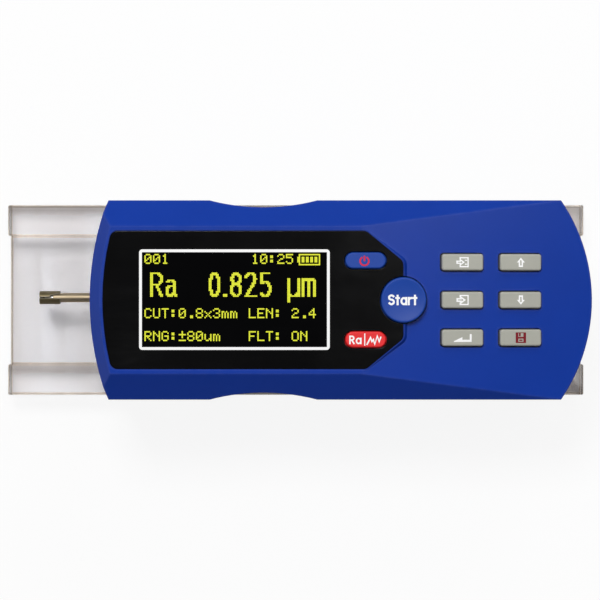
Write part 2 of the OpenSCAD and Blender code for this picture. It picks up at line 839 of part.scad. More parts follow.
// Start key: a round cap with a dished top
module start_key() {
  top_d = start_d - 2 * key_bevel;
  dish_d = top_d - 2 * key_bevel;
  dish_r = (pow(dish_d / 2, 2) + pow(dish, 2)) / (2 * dish);
  color(key_blue) in_case() translate([start_u, 0, case_h]) {
    difference() {
      union() {
        translate([0, 0, -flange_top]) cylinder(d = start_d, h = flange_top + start_rise - key_bevel);
        translate([0, 0, start_rise - key_bevel]) cylinder(d1 = start_d, d2 = top_d, h = key_bevel);
      }
      translate([0, 0, start_rise - dish + dish_r]) sphere(r = dish_r, $fn = 240);
    }
    translate([0, 0, -flange_low]) cylinder(d = start_d, h = flange_t + eps);
    translate([0, 0, -flange_low]) start_flange(0, flange_t);
  }
}

// Grey key on the keypad plane
module grey_key(place) {
  color(key_grey) in_case() on_slope(place[0], place[1], 0) {
    hull() {
      linear_extrude(key_rise - key_bevel) key_outline(0);
      linear_extrude(key_rise) key_outline(-key_bevel);
    }
    translate([0, 0, -flange_top - eps]) linear_extrude(flange_top + 2 * eps) key_outline(0);
    translate([0, 0, -flange_low]) linear_extrude(flange_t) key_outline(flange_w);
  }
}

module menu_key() {
  grey_key(key_places[0]);
}

module back_key() {
  grey_key(key_places[1]);
}

module enter_key() {
  grey_key(key_places[2]);
}

module up_key() {
  grey_key(key_places[3]);
}

module down_key() {
  grey_key(key_places[4]);
}

module save_key() {
  grey_key(key_places[5]);
}

// Board under the grey keys and its six switches
module key_board() {
  color(board_green) in_case() difference() {
    on_slope(key_board_s, -upper_board_w / 2, -board_down - board_t)
      cube([key_board_l, upper_board_w, board_t]);
    for (p = key_bosses) on_slope(p[0], p[1], -board_down - board_t - 1)
      cylinder(d = board_screw_d + 2 * run_gap, h = board_t + 2);
  }
}

module key_switches() {
  color(black_plastic) in_case() for (p = key_places) on_slope(p[0], p[1], -board_down) push_switch();
}

module key_screws() {
  color(steel) in_case() for (p = key_bosses) on_slope(p[0], p[1], -board_down - board_t) mirror([0, 0, 1])
    pan_screw(board_screw_d, board_screw_l);
}

// Main board with its processor, converter, memory and plug
module main_board() {
  top = main_z + board_t;
  mid_u = (standoffs[0][0] + standoffs[2][0]) / 2;
  far_y = case_w / 2 - socket_in - socket_l + socket_seat;
  color(board_green) in_case() {
    difference() {
      translate([main_u, -main_near, main_z]) cube([main_l, main_near + far_y, board_t]);
      for (p = standoffs) translate([p[0], p[1], main_z - 1])
        cylinder(d = board_screw_d + 2 * run_gap, h = board_t + 2);
    }
    for (c = main_chips) translate([mid_u + c[0], c[1], top - eps]) cube([c[2], c[3], c[4]]);
    translate([mid_u - board_plug[0] / 2, plug_in - main_near, top - eps]) cube(board_plug);
    for (n = [-1 : 1]) translate([mid_u + cap_pitch * n, standoff_y, top - eps])
      cylinder(d = cap_d, h = cap_h);
  }
}

// Standoffs that carry the main board on the drive frame
module board_standoffs() {
  color(brass) in_case() for (p = standoffs) translate([p[0], p[1], frame_z]) difference() {
    union() {
      cylinder(d = 5, h = standoff_h, $fn = 6);
      translate([0, 0, -bridge_t]) cylinder(d = board_screw_d, h = bridge_t + eps);
    }
    translate([0, 0, standoff_h - board_screw_l + board_t - 0.5])
      cylinder(d = board_screw_d + 2 * fit_gap, h = board_screw_l);
  }
}

module main_screws() {
  color(steel) in_case() for (p = standoffs) translate([p[0], p[1], main_z + board_t])
    pan_screw(board_screw_d, board_screw_l);
}

// Data socket on the main board, open at the far side of the case
module data_socket() {
  mouth_y = case_w / 2 - socket_in;
  hole_l = socket_l - 2;
  color(steel) in_case() translate([socket_u, mouth_y - socket_l, main_z + board_t]) {
    difference() {
      translate([-socket_w / 2, 0, 0]) cube([socket_w, socket_l, socket_h]);
      translate([-socket_w / 2 + socket_shell, socket_l - hole_l, socket_shell])
        cube([socket_w - 2 * socket_shell, hole_l + 1, socket_h - 2 * socket_shell]);
    }
    translate([-socket_w / 4, socket_l - hole_l - eps, socket_h / 2 - 0.4])
      cube([socket_w / 2, hole_l - 1.5, 0.8]);
  }
}

// Flat rechargeable battery on the base plate
module battery() {
  color(alloy) in_case() translate([battery_u, -battery_w / 2, base_t])
    cube([battery_l, battery_w, battery_h]);
}

// Drive frame: three uprights joined by a bridge, with feet on the base plate
module drive_frame() {
  color(alloy) in_case() difference() {
    union() {
      for (u = [frame_u, rear_u]) translate([u, -frame_w / 2, base_t])
        cube([upright_t, frame_w, frame_z - base_t]);
      translate([motor_plate_u, -frame_w / 2 + 4, base_t + battery_h + 0.5])
        cube([upright_t, frame_w - 8, frame_z - base_t - battery_h - 0.5]);
      translate([frame_u, -frame_w / 2, frame_z - bridge_t]) cube([frame_end - frame_u, frame_w, bridge_t]);
      for (side = [-1, 1]) {
        foot_w = frame_w / 2 - foot_y;
        mid_y = side * (foot_y + foot_w / 2);
        translate([frame_u - foot_l, mid_y - foot_w / 2, base_t]) cube([foot_l + eps, foot_w, foot_t]);
        translate([rear_u + upright_t - eps, mid_y - foot_w / 2, base_t])
          cube([foot_l + eps, foot_w, foot_t]);
      }
    }
    translate([frame_u - 1, pick_y, pick_z]) bar(pass_d, upright_t + 2);
    translate([frame_u - 1, pick_y - pass_d / 2, base_t - 1])
      cube([upright_t + 2, pass_d, pick_z - base_t + 1]);
    for (u = [frame_u, rear_u]) {
      translate([u - 1, 0, screw_z]) bar(bearing_d + 2 * fit_gap, upright_t + 2);
      for (side = [-1, 1]) translate([u - 1, side * rod_y, screw_z]) bar(rod_d + 2 * fit_gap, upright_t + 2);
    }
    translate([motor_plate_u - 1, 0, screw_z]) bar(shaft_d + 2.4, upright_t + 2);
    for (side = [-1, 1]) translate([motor_plate_u - 1, side * motor_screw_y, screw_z])
      bar(board_screw_d + 2 * run_gap, upright_t + 2);
    for (p = foot_screws) translate([p[0], p[1], base_t - 1])
      cylinder(d = frame_screw_d + 2 * fit_gap, h = foot_t + 2);
    for (p = standoffs) translate([p[0], p[1], frame_z - bridge_t - 1])
      cylinder(d = board_screw_d + 2 * fit_gap, h = bridge_t + 2);
  }
}

module frame_screws() {
  color(steel) in_case() for (p = foot_screws) translate([p[0], p[1], screw_sink])
    countersunk(frame_head_d, frame_screw_d, base_t + foot_t - 0.3);
}

// Guide rod, held in the front and rear uprights
module guide_rod(side) {
  color(steel) in_case() translate([frame_u, side * rod_y, screw_z]) bar(rod_d, rear_u + upright_t - frame_u);
}

module far_rod() {
  guide_rod(1);
}

module near_rod() {
  guide_rod(-1);
}

// Plain bearing of the lead screw
module screw_bearing(u) {
  color(brass) in_case() translate([u, 0, screw_z]) difference() {
    bar(bearing_d, upright_t);
    translate([-1, 0, 0]) bar(screw_d + 2 * run_gap, upright_t + 2);
  }
}

module front_bearing() {
  screw_bearing(frame_u);
}

module rear_bearing() {
  screw_bearing(rear_u);
}

// Lead screw with a collar behind the front bearing
module lead_screw() {
  color(steel) in_case() translate([screw_start, 0, screw_z]) {
    bar(screw_d, screw_end - screw_start);
    translate([frame_u + upright_t + 0.3 - screw_start, 0, 0]) bar(screw_d + 2, 1.2);
  }
}

// Coupling between the motor shaft and the lead screw
module shaft_coupling() {
  color(alloy) in_case() translate([coupling_u, 0, screw_z]) difference() {
    bar(coupling_d, coupling_l);
    translate([-1, 0, 0]) bar(screw_d + 2 * fit_gap, coupling_l / 2 + 1);
    translate([coupling_l / 2 - 1, 0, 0]) bar(shaft_d + 2 * fit_gap, coupling_l / 2 + 2);
    for (u = [coupling_l / 4, coupling_l * 3 / 4]) translate([u, 0, 0]) cylinder(d = 1.6, h = coupling_d);
  }
}

module motor_shaft() {
  color(steel) in_case() translate([coupling_u + coupling_l / 2, 0, screw_z])
    bar(shaft_d, motor_u + 4 - coupling_u - coupling_l / 2);
}

// Gear motor: gearhead, can and end cap, sealed as one unit
module gear_motor() {
  color(alloy) in_case() translate([motor_u, 0, screw_z]) difference() {
    union() {
      bar(motor_d, gearhead_l);
      translate([gearhead_l - eps, 0, 0]) bar(motor_d - 0.6, can_l);
      translate([gearhead_l + can_l - 2 * eps, 0, 0]) bar(motor_d - 5, 1.5);
      for (side = [-1, 1]) translate([gearhead_l + can_l - eps, side * 4 - 0.7, -0.2]) cube([2.5, 1.4, 0.4]);
    }
    translate([-1, 0, 0]) bar(shaft_d + 2 * run_gap, 5.2);
    for (side = [-1, 1]) translate([-1, side * motor_screw_y, 0]) bar(board_screw_d + 2 * fit_gap, 4);
  }
}

module motor_screws() {
  color(steel) in_case() for (side = [-1, 1]) translate([motor_plate_u, side * motor_screw_y, screw_z])
    rotate([0, -90, 0]) pan_screw(board_screw_d, board_screw_l);
}

// Carriage that runs on the guide rods and carries the pickup
module carriage() {
  color(dark_alloy) in_case() translate([carriage_u, 0, 0]) difference() {
    translate([0, -carriage_w / 2, carriage_low]) cube([carriage_l, carriage_w, carriage_top - carriage_low]);
    for (side = [-1, 1]) translate([-1, side * rod_y, screw_z]) {
      bar(rod_d + 1, carriage_l + 2);
      bar(bush_d + 2 * fit_gap, bush_l + 1);
      translate([carriage_l + 1 - bush_l, 0, 0]) bar(bush_d + 2 * fit_gap, bush_l + 1);
    }
    translate([-1, 0, screw_z]) bar(screw_d + 1, carriage_l + 2);
    translate([carriage_l - nut_l, 0, screw_z]) bar(nut_d + 2 * fit_gap, nut_l + 1);
    translate([-1, pick_y, pick_z]) bar(jack_d + 2 * fit_gap, jack_u + jack_l - carriage_u + 1);
  }
}

module carriage_bushes() {
  color(brass) in_case() for (side = [-1, 1], u = [carriage_u, carriage_u + carriage_l - bush_l])
    translate([u, side * rod_y, screw_z]) difference() {
      bar(bush_d, bush_l);
      translate([-1, 0, 0]) bar(rod_d + 2 * run_gap, bush_l + 2);
    }
}

// Nut on the lead screw, flanged against the carriage's rear face
module drive_nut() {
  color(brass) in_case() translate([carriage_u + carriage_l, 0, screw_z]) difference() {
    union() {
      translate([-nut_l, 0, 0]) bar(nut_d, nut_l + eps);
      bar(nut_flange_d, nut_flange_t);
    }
    translate([-nut_l - 1, 0, 0]) bar(screw_d + 2 * run_gap, nut_l + nut_flange_t + 2);
  }
}

// Socket in the carriage that the pickup plugs into
module pickup_socket() {
  color(black_plastic) in_case() translate([jack_u, pick_y, pick_z]) difference() {
    bar(jack_d, jack_l);
    translate([-1, 0, 0]) bar(plug_d + 2 * run_gap, plug_l + 1.2);
  }
}

// Pickup: body, plug, tube, head and the lever with its stylus
module pickup_body() {
  color(dark_alloy) in_case() translate([body_u, pick_y, pick_z]) difference() {
    bar(body_d, body_l);
    translate([tube_seat, 0, 0]) bar(body_bore, body_l);
    translate([-1, 0, 0]) bar(tube_d + 2 * fit_gap, tube_seat + 2);
    translate([pivot_in, 0, 0]) rotate([90, 0, 0]) translate([0, 0, -body_d])
      cylinder(d = pivot_d + 2 * fit_gap, h = 2 * body_d);
  }
}

module pickup_plug() {
  color(black_plastic) in_case() translate([body_u + body_l, pick_y, pick_z]) {
    translate([-3, 0, 0]) bar(body_bore - 2 * fit_gap, 3);
    translate([-eps, 0, 0]) bar(plug_d, plug_l + eps);
  }
}

module pickup_tube() {
  color(steel) in_case() translate([tube_u, pick_y, pick_z]) difference() {
    bar(tube_d, tube_end - tube_u);
    translate([-1, 0, 0]) bar(tube_bore, tube_end - tube_u + 2);
  }
}

// Head with its skid, the slot over the lever and a slanting cut at the far side
module skid_head() {
  cut_u = head_l - tube_seat - slot_w - 0.5;
  cut_end = head_l - cut_u + 1;
  color(dark_alloy) in_case() translate([head_u, pick_y, pick_z]) difference() {
    union() {
      bar(head_d, head_l);
      intersection() {
        translate([0.3, -skid_w / 2, -pick_z]) cube([skid_l, skid_w, pick_z]);
        translate([stylus_in, skid_w, skid_r - pick_z]) rotate([90, 0, 0])
          cylinder(r = skid_r, h = 2 * skid_w);
      }
    }
    translate([0.6, 0, 0]) bar(tube_bore, head_l);
    translate([head_l - tube_seat, 0, 0]) bar(tube_d + 2 * fit_gap, tube_seat + 1);
    translate([-1, -slot_w / 2, 0]) cube([cut_u + 1, slot_w, head_d]);
    translate([cut_u, 0, 0]) linear_extrude(head_d)
      polygon([[0, -slot_w / 2], [0, 1.5 * slot_w], [cut_end, tube_d / 2 + 0.15], [cut_end, -slot_w / 2]]);
    translate([stylus_in, 0, -pick_z - 1]) cylinder(d = stylus_hole_d, h = pick_z + 1);
  }
}

module pivot_pin() {
  color(steel) in_case() translate([pivot_u, pick_y + body_d / 2 - 0.2, pick_z]) rotate([90, 0, 0])
    cylinder(d = pivot_d, h = body_d - 0.4);
}

// Two half coils above and below the lever's rear end
module sensor_coils() {
  color(copper) in_case() translate([coil_u, pick_y, pick_z]) for (turn = [0, 180]) rotate([turn, 0, 0])
    intersection() {
      difference() {
        bar(body_bore - 2 * fit_gap, coil_l);
        translate([-1, 0, 0]) bar(body_bore - 1.8, coil_l + 2);
      }
      translate([0, -body_d, 0.5]) cube([coil_l, 2 * body_d, body_d]);
    }
}

module stylus_lever() {
  color(steel) in_case() translate([0, pick_y, 0]) difference() {
    union() {
      translate([stylus_u - 0.5, 0, pick_z]) bar(lever_d, lever_end - stylus_u + 0.5);
      translate([pivot_u, hub_w / 2, pick_z]) rotate([90, 0, 0]) cylinder(d = hub_d, h = hub_w);
      translate([lever_end - coil_l, 0, pick_z]) bar(lever_d + 0.8, coil_l);
      translate([stylus_u, 0, tip_l - tip_out]) cylinder(d = stylus_d, h = pick_z - tip_l + tip_out);
    }
    translate([pivot_u, hub_w, pick_z]) rotate([90, 0, 0]) cylinder(d = pivot_d + 2 * run_gap, h = 2 * hub_w);
  }
}

module diamond_tip() {
  color(diamond) in_case() translate([stylus_u, pick_y, -tip_out])
    cylinder(d1 = 0.02, d2 = stylus_d * 0.8, h = tip_l);
}

stand_plate();
far_rail();
near_rail();
base_plate();
lower_case();
upper_cover();
case_screws();
display_window();
display_module();
display_board();
display_switches();
display_screws();
power_key();
profile_key();
start_key();
menu_key();
back_key();
enter_key();
up_key();
down_key();
save_key();
key_board();
key_switches();
key_screws();
main_board();
board_standoffs();
main_screws();
data_socket();
battery();
drive_frame();
frame_screws();
far_rod();
near_rod();
front_bearing();
rear_bearing();
lead_screw();
shaft_coupling();
motor_shaft();
gear_motor();
motor_screws();
carriage();
carriage_bushes();
drive_nut();
pickup_socket();
pickup_body();
pickup_plug();
pickup_tube();
skid_head();
pivot_pin();
sensor_coils();
stylus_lever();
diamond_tip();
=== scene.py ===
"""Looks of a hand-held surface roughness tester on its clear stand.

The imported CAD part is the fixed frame. Every CAD node gets a procedural finish, the clear stand is rebuilt as one
polished block, and the print, the lit display and the key signs are added on top of the CAD surfaces.
"""
import json
import logging
import math
from dataclasses import dataclass, field
from enum import Enum
from functools import cache

import bpy
from mathutils import Matrix, Vector
from mathutils.bvhtree import BVHTree


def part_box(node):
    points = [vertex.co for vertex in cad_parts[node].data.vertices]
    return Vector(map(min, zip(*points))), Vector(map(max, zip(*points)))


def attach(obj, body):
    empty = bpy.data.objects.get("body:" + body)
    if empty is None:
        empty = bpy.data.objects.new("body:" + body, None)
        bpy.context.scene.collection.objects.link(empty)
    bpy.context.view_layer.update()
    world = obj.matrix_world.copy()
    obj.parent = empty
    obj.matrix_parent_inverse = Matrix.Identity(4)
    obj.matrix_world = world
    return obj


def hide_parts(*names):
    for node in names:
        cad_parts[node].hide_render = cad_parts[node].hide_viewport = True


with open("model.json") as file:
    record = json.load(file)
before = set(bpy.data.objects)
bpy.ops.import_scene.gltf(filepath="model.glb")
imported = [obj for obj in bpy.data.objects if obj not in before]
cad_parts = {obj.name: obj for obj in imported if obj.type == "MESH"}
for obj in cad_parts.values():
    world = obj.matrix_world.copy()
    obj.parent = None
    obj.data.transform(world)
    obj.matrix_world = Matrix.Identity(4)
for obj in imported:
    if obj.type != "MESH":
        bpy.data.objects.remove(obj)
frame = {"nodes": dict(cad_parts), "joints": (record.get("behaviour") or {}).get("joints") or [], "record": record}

LOG = logging.getLogger("roughness_tester")
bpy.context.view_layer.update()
MM = 0.001
Point = tuple[float, float]
Colour = tuple[float, float, float]
Place = tuple[float, float, float]
Socket = bpy.types.NodeSocket
Tree = bpy.types.NodeTree

# Noise: scale of the slow kind against the grain's, and the values between which it goes from none to full
SLOW_SCALE = 0.03
NOISE_SPAN = (0.3, 0.7)
# Rubbed edges, which also paint a pale highlight along the case's edges: bend of the normal where they start and are
# full, their patches, and their reach in edge radii
WEAR_AND_HIGHLIGHT_BEND = (0.002, 0.06)
WEAR_AND_HIGHLIGHT_PATCH_SCALE = 260.0
WEAR_AND_HIGHLIGHT_PATCH = (0.2, 0.55)
WEAR_AND_HIGHLIGHT_REACH = 1.6
# Colour of a rubbed place: gain and lift on plastic, which on the case paint a pale edge highlight, and bare metal
WEAR_AND_HIGHLIGHT_GAIN = 1.15
WEAR_AND_HIGHLIGHT_LIFT = 0.07
BARE_METAL: Colour = (0.75, 0.74, 0.72)
# Wiped smears: how they are drawn out, their scales, their spans and the roughness they add
SMEAR_DRAW = (0.25, 1.0, 1.0)
SMEAR_SCALE = 160.0
SMEAR_PATCH_SCALE = 38.0
SMEAR_SPAN = (0.42, 0.72)
SMEAR_PATCH = (0.35, 0.7)
SMEAR_ROUGHNESS = 0.3
# Spread of a finish's roughness about its middle, and roughness of the clear coat
ROUGH_SPREAD = 0.14
COAT_ROUGHNESS = 0.2


def srgb(red: int, green: int, blue: int) -> Colour:
    """Linear colour of an 8-bit display colour.

    Args:
        red: Red from 0 to 255.
        green: Green from 0 to 255.
        blue: Blue from 0 to 255.

    Returns:
        The three linear values.
    """
    def one(value: int) -> float:
        """Linear value of one channel."""
        part = value / 255.0
        return part / 12.92 if part <= 0.04045 else ((part + 0.055) / 1.055) ** 2.4

    return one(red), one(green), one(blue)


class Graph:
    """Adds nodes and links to one node tree."""

    def __init__(self, tree: Tree) -> None:
        """Keeps the tree.

        Args:
            tree: The material's or group's node tree.
        """
        self.tree = tree

    def add(self, kind: str, inputs: dict | None = None, **settings: object) -> bpy.types.Node:
        """Adds one node.

        Args:
            kind: The node's class name.
            inputs: Input name or number to a value or an output socket.
            **settings: Properties of the node.

        Returns:
            The new node.
        """
        node = self.tree.nodes.new(kind)
        for key, value in settings.items():
            setattr(node, key, value)
        for key, value in (inputs or {}).items():
            if isinstance(value, Socket):
                self.tree.links.new(value, node.inputs[key])
            else:
                node.inputs[key].default_value = value
        return node

    def math(self, operation: str, first: object, second: object = 0.0, clamp: bool = False) -> Socket:
        """Output of a math node with two operands."""
        return self.add("ShaderNodeMath", {0: first, 1: second}, operation=operation, use_clamp=clamp).outputs[0]

    def mix(self, factor: object, first: object, second: object) -> Socket:
        """Adds a colour mix node.

        Args:
            factor: Share of the second colour.
            first: First colour or its socket.
            second: Second colour or its socket.

        Returns:
            The mixed colour.
        """
        node = self.add("ShaderNodeMix", data_type="RGBA")
        for name, value in (("Factor_Float", factor), ("A_Color", first), ("B_Color", second)):
            target = next(s for s in node.inputs if s.identifier == name)
            if isinstance(value, Socket):
                self.tree.links.new(value, target)
            else:
                target.default_value = value if name == "Factor_Float" else (*value[:3], 1.0)
        return next(s for s in node.outputs if s.identifier == "Result_Color")

    def ramp(self, value: object, low: float, high: float, out_low: float = 0.0, out_high: float = 1.0) -> Socket:
        """Output of a clamped map range node."""
        return self.add("ShaderNodeMapRange", {0: value, 1: low, 2: high, 3: out_low, 4: out_high}).outputs[0]

    def stretched(self, place: Socket, by: object) -> Socket:
        """Coordinates scaled along each axis."""
        return self.add("ShaderNodeVectorMath", {0: place, 1: by}, operation="MULTIPLY").outputs[0]


class Effect(Enum):
    """Shader node groups that several finishes share."""

    GRAIN = "fine_grain"
    WEAR = "edge_wear"
    SMEAR = "wiped_smears"

    def tree(self) -> Tree:
        """Finds the group, or builds it the first time it is asked for.

        Returns:
            The group's node tree.
        """
        made = bpy.data.node_groups.get(self.value)
        if made is None:
            made = bpy.data.node_groups.new(self.value, "ShaderNodeTree")
            {Effect.GRAIN: self._grain, Effect.WEAR: self._wear, Effect.SMEAR: self._smear}[self](made)
        return made

    @staticmethod
    def _sockets(tree: Tree, inputs: dict[str, str], outputs: dict[str, str]
                 ) -> tuple[bpy.types.Node, bpy.types.Node]:
        """Declares a group's sockets.

        Args:
            tree: The group's node tree.
            inputs: Names and kinds of the inputs.
            outputs: Names and kinds of the outputs.

        Returns:
            The group's input and output nodes.
        """
        for way, names in (("INPUT", inputs), ("OUTPUT", outputs)):
            for name, kind in names.items():
                tree.interface.new_socket(name, in_out=way, socket_type="NodeSocket" + kind)
        return tree.nodes.new("NodeGroupInput"), tree.nodes.new("NodeGroupOutput")

    @staticmethod
    def _grain(tree: Tree) -> None:
        """Fine moulded or brushed grain: a normal with softened edges, a fine mask and a slow one.

        Args:
            tree: The group's node tree.
        """
        inside, out = Effect._sockets(
            tree, {"Scale": "Float", "Depth": "Float", "Edge": "Float", "Stretch": "Vector"},
            {"Normal": "Vector", "Fine": "Float", "Slow": "Float"})
        g = Graph(tree)
        place = g.add("ShaderNodeTexCoord").outputs["Object"]
        drawn = g.stretched(place, inside.outputs["Stretch"])
        fine = g.add("ShaderNodeTexNoise", {"Vector": drawn, "Scale": inside.outputs["Scale"], "Detail": 3.0})
        slow_scale = g.math("MULTIPLY", inside.outputs["Scale"], SLOW_SCALE)
        slow = g.add("ShaderNodeTexNoise", {"Vector": place, "Scale": slow_scale, "Detail": 4.0, "Roughness": 0.6})
        soft = g.add("ShaderNodeBevel", {"Radius": inside.outputs["Edge"]}, samples=6)
        bump = g.add("ShaderNodeBump", {"Strength": 1.0, "Distance": inside.outputs["Depth"],
                                        "Height": fine.outputs["Fac"], "Normal": soft.outputs["Normal"]})
        g.tree.links.new(bump.outputs["Normal"], out.inputs["Normal"])
        g.tree.links.new(fine.outputs["Fac"], out.inputs["Fine"])
        g.tree.links.new(slow.outputs["Fac"], out.inputs["Slow"])

    @staticmethod
    def _wear(tree: Tree) -> None:
        """Paler rubbed edges, which on the case paint a pale highlight along its edges: the colour with its rubbed
        places.

        Args:
            tree: The group's node tree.
        """
        inside, out = Effect._sockets(tree, {"Color": "Color", "Worn_And_Highlight": "Color", "Radius": "Float", "Amount": "Float"},
                                      {"Color": "Color"})
        g = Graph(tree)
        soft = g.add("ShaderNodeBevel", {"Radius": inside.outputs["Radius"]}, samples=4).outputs["Normal"]
        hard = g.add("ShaderNodeNewGeometry").outputs["Normal"]
        same = g.add("ShaderNodeVectorMath", {0: soft, 1: hard}, operation="DOT_PRODUCT").outputs["Value"]
        edge = g.ramp(g.math("SUBTRACT", 1.0, same), *WEAR_AND_HIGHLIGHT_BEND)
        place = g.add("ShaderNodeTexCoord").outputs["Object"]
        patch = g.add("ShaderNodeTexNoise", {"Vector": place, "Scale": WEAR_AND_HIGHLIGHT_PATCH_SCALE, "Detail": 5.0}).outputs["Fac"]
        mask = g.math("MULTIPLY", g.math("MULTIPLY", edge, g.ramp(patch, *WEAR_AND_HIGHLIGHT_PATCH)), inside.outputs["Amount"])
        g.tree.links.new(g.mix(mask, inside.outputs["Color"], inside.outputs["Worn_And_Highlight"]), out.inputs["Color"])

    @staticmethod
    def _smear(tree: Tree) -> None:
        """Faint marks of wiping on a glossy face: a roughness that rises in soft streaks.

        Args:
            tree: The group's node tree.
        """
        inside, out = Effect._sockets(tree, {"Roughness": "Float", "Amount": "Float"}, {"Roughness": "Float"})
        g = Graph(tree)
        place = g.add("ShaderNodeTexCoord").outputs["Object"]
        drawn = g.stretched(place, SMEAR_DRAW)
        smear_and_shade_streak = g.add("ShaderNodeTexNoise", {"Vector": drawn, "Scale": SMEAR_SCALE, "Detail": 5.0,
                                              "Roughness": 0.65}).outputs["Fac"]
        patch = g.add("ShaderNodeTexNoise", {"Vector": place, "Scale": SMEAR_PATCH_SCALE, "Detail": 2.0}).outputs["Fac"]
        mask = g.math("MULTIPLY", g.ramp(smear_and_shade_streak, *SMEAR_SPAN), g.ramp(patch, *SMEAR_PATCH))
        mask = g.math("MULTIPLY", mask, inside.outputs["Amount"])
        more = g.math("MULTIPLY", mask, SMEAR_ROUGHNESS)
        rough = g.math("ADD", inside.outputs["Roughness"], more, clamp=True)
        g.tree.links.new(rough, out.inputs["Roughness"])


@dataclass(frozen=True)
class Finish:
    """A procedural surface: base colour with slow mottling, fine grain, softened edges, rubbed edges that can also
    paint a pale edge highlight, and smears.

    Lengths are in millimetres and grain is in features per metre.
    """

    name: str
    colour: Colour
    roughness: float
    metallic: float = 0.0
    specular: float = 0.5
    grain: float = 2600.0
    depth: float = 0.006
    stretch: Colour = (1.0, 1.0, 1.0)
    mottle: float = 0.08
    edge: float = 0.3
    wear_and_highlight: float = 0.1
    smear: float = 0.0
    coat: float = 0.0

    @cache
    def material(self) -> bpy.types.Material:
        """Builds the finish's material the first time it is asked for.

        Returns:
            The material.
        """
        made = bpy.data.materials.new(self.name)
        made.use_nodes = True
        made.diffuse_color = (*self.colour, 1.0)
        self.build(made)
        return made

    def tint(self, g: Graph, slow: Socket, fine: Socket) -> Socket:
        """Base colour with its slow mottling.

        Args:
            g: The material's graph.
            slow: Slow noise from the grain group.
            fine: Fine noise from the grain group, not used here.

        Returns:
            A colour socket.
        """
        dark = tuple(c * (1.0 - self.mottle) for c in self.colour)
        pale = tuple(min(1.0, c * (1.0 + self.mottle)) for c in self.colour)
        return g.mix(g.ramp(slow, *NOISE_SPAN), dark, pale)

    def wear_and_highlight_colour(self) -> Colour:
        """Colour of the rubbed edges, and on the case of the painted highlight along its edges."""
        return BARE_METAL if self.metallic >= 0.5 else tuple(min(1.0, WEAR_AND_HIGHLIGHT_GAIN * c + WEAR_AND_HIGHLIGHT_LIFT) for c in self.colour)

    def grained(self, g: Graph, edge: float) -> bpy.types.Node:
        """Adds the grain group.

        Args:
            g: The material's graph.
            edge: Radius of the softened edges in millimetres.

        Returns:
            The group's node.
        """
        grain = g.add("ShaderNodeGroup", node_tree=Effect.GRAIN.tree())
        for name, value in (("Scale", self.grain), ("Depth", self.depth * MM), ("Edge", edge * MM),
                            ("Stretch", self.stretch)):
            grain.inputs[name].default_value = value
        return grain

    def build(self, material: bpy.types.Material) -> None:
        """Fills the material's node tree.

        Args:
            material: The new material.
        """
        g = Graph(material.node_tree)
        shader = material.node_tree.nodes["Principled BSDF"]
        grain = self.grained(g, self.edge)
        colour = self.tint(g, grain.outputs["Slow"], grain.outputs["Fine"])
        wear_and_highlight = g.add("ShaderNodeGroup", {"Color": colour, "Worn_And_Highlight": (*self.wear_and_highlight_colour(), 1.0), "Amount": self.wear_and_highlight,
                                         "Radius": WEAR_AND_HIGHLIGHT_REACH * self.edge * MM}, node_tree=Effect.WEAR.tree())
        rough = g.ramp(grain.outputs["Slow"], *NOISE_SPAN, self.roughness * (1.0 - ROUGH_SPREAD),
                       min(1.0, self.roughness * (1.0 + ROUGH_SPREAD)))
        smear = g.add("ShaderNodeGroup", {"Roughness": rough, "Amount": self.smear}, node_tree=Effect.SMEAR.tree())
        for name, socket in (("Base Color", wear_and_highlight.outputs["Color"]), ("Roughness", smear.outputs["Roughness"]),
                             ("Normal", grain.outputs["Normal"])):
            g.tree.links.new(socket, shader.inputs[name])
        shader.inputs["Metallic"].default_value = self.metallic
        shader.inputs["Specular IOR Level"].default_value = self.specular
        shader.inputs["Coat Weight"].default_value = self.coat
        shader.inputs["Coat Roughness"].default_value = COAT_ROUGHNESS


@dataclass(frozen=True)
class BoardFinish(Finish):
    """Circuit board: solder mask over copper tracks and rows of pads."""

    def tint(self, g: Graph, slow: Socket, fine: Socket) -> Socket:
        """Solder mask colour with paler tracks.

        Args:
            g: The material's graph.
            slow: Slow noise from the grain group.
            fine: Fine noise from the grain group, not used here.

        Returns:
            A colour socket.
        """
        place = g.add("ShaderNodeTexCoord").outputs["Object"]
        tracks = g.add("ShaderNodeTexBrick", {
            "Vector": place, "Scale": 120.0, "Mortar Size": 0.035,
            "Color1": (0, 0, 0, 1), "Color2": (0, 0, 0, 1), "Mortar": (1, 1, 1, 1)})
        track = g.math("MULTIPLY", tracks.outputs["Fac"], g.ramp(slow, 0.35, 0.6))
        return g.mix(track, self.colour, tuple(min(1.0, 1.9 * c + 0.02) for c in self.colour))


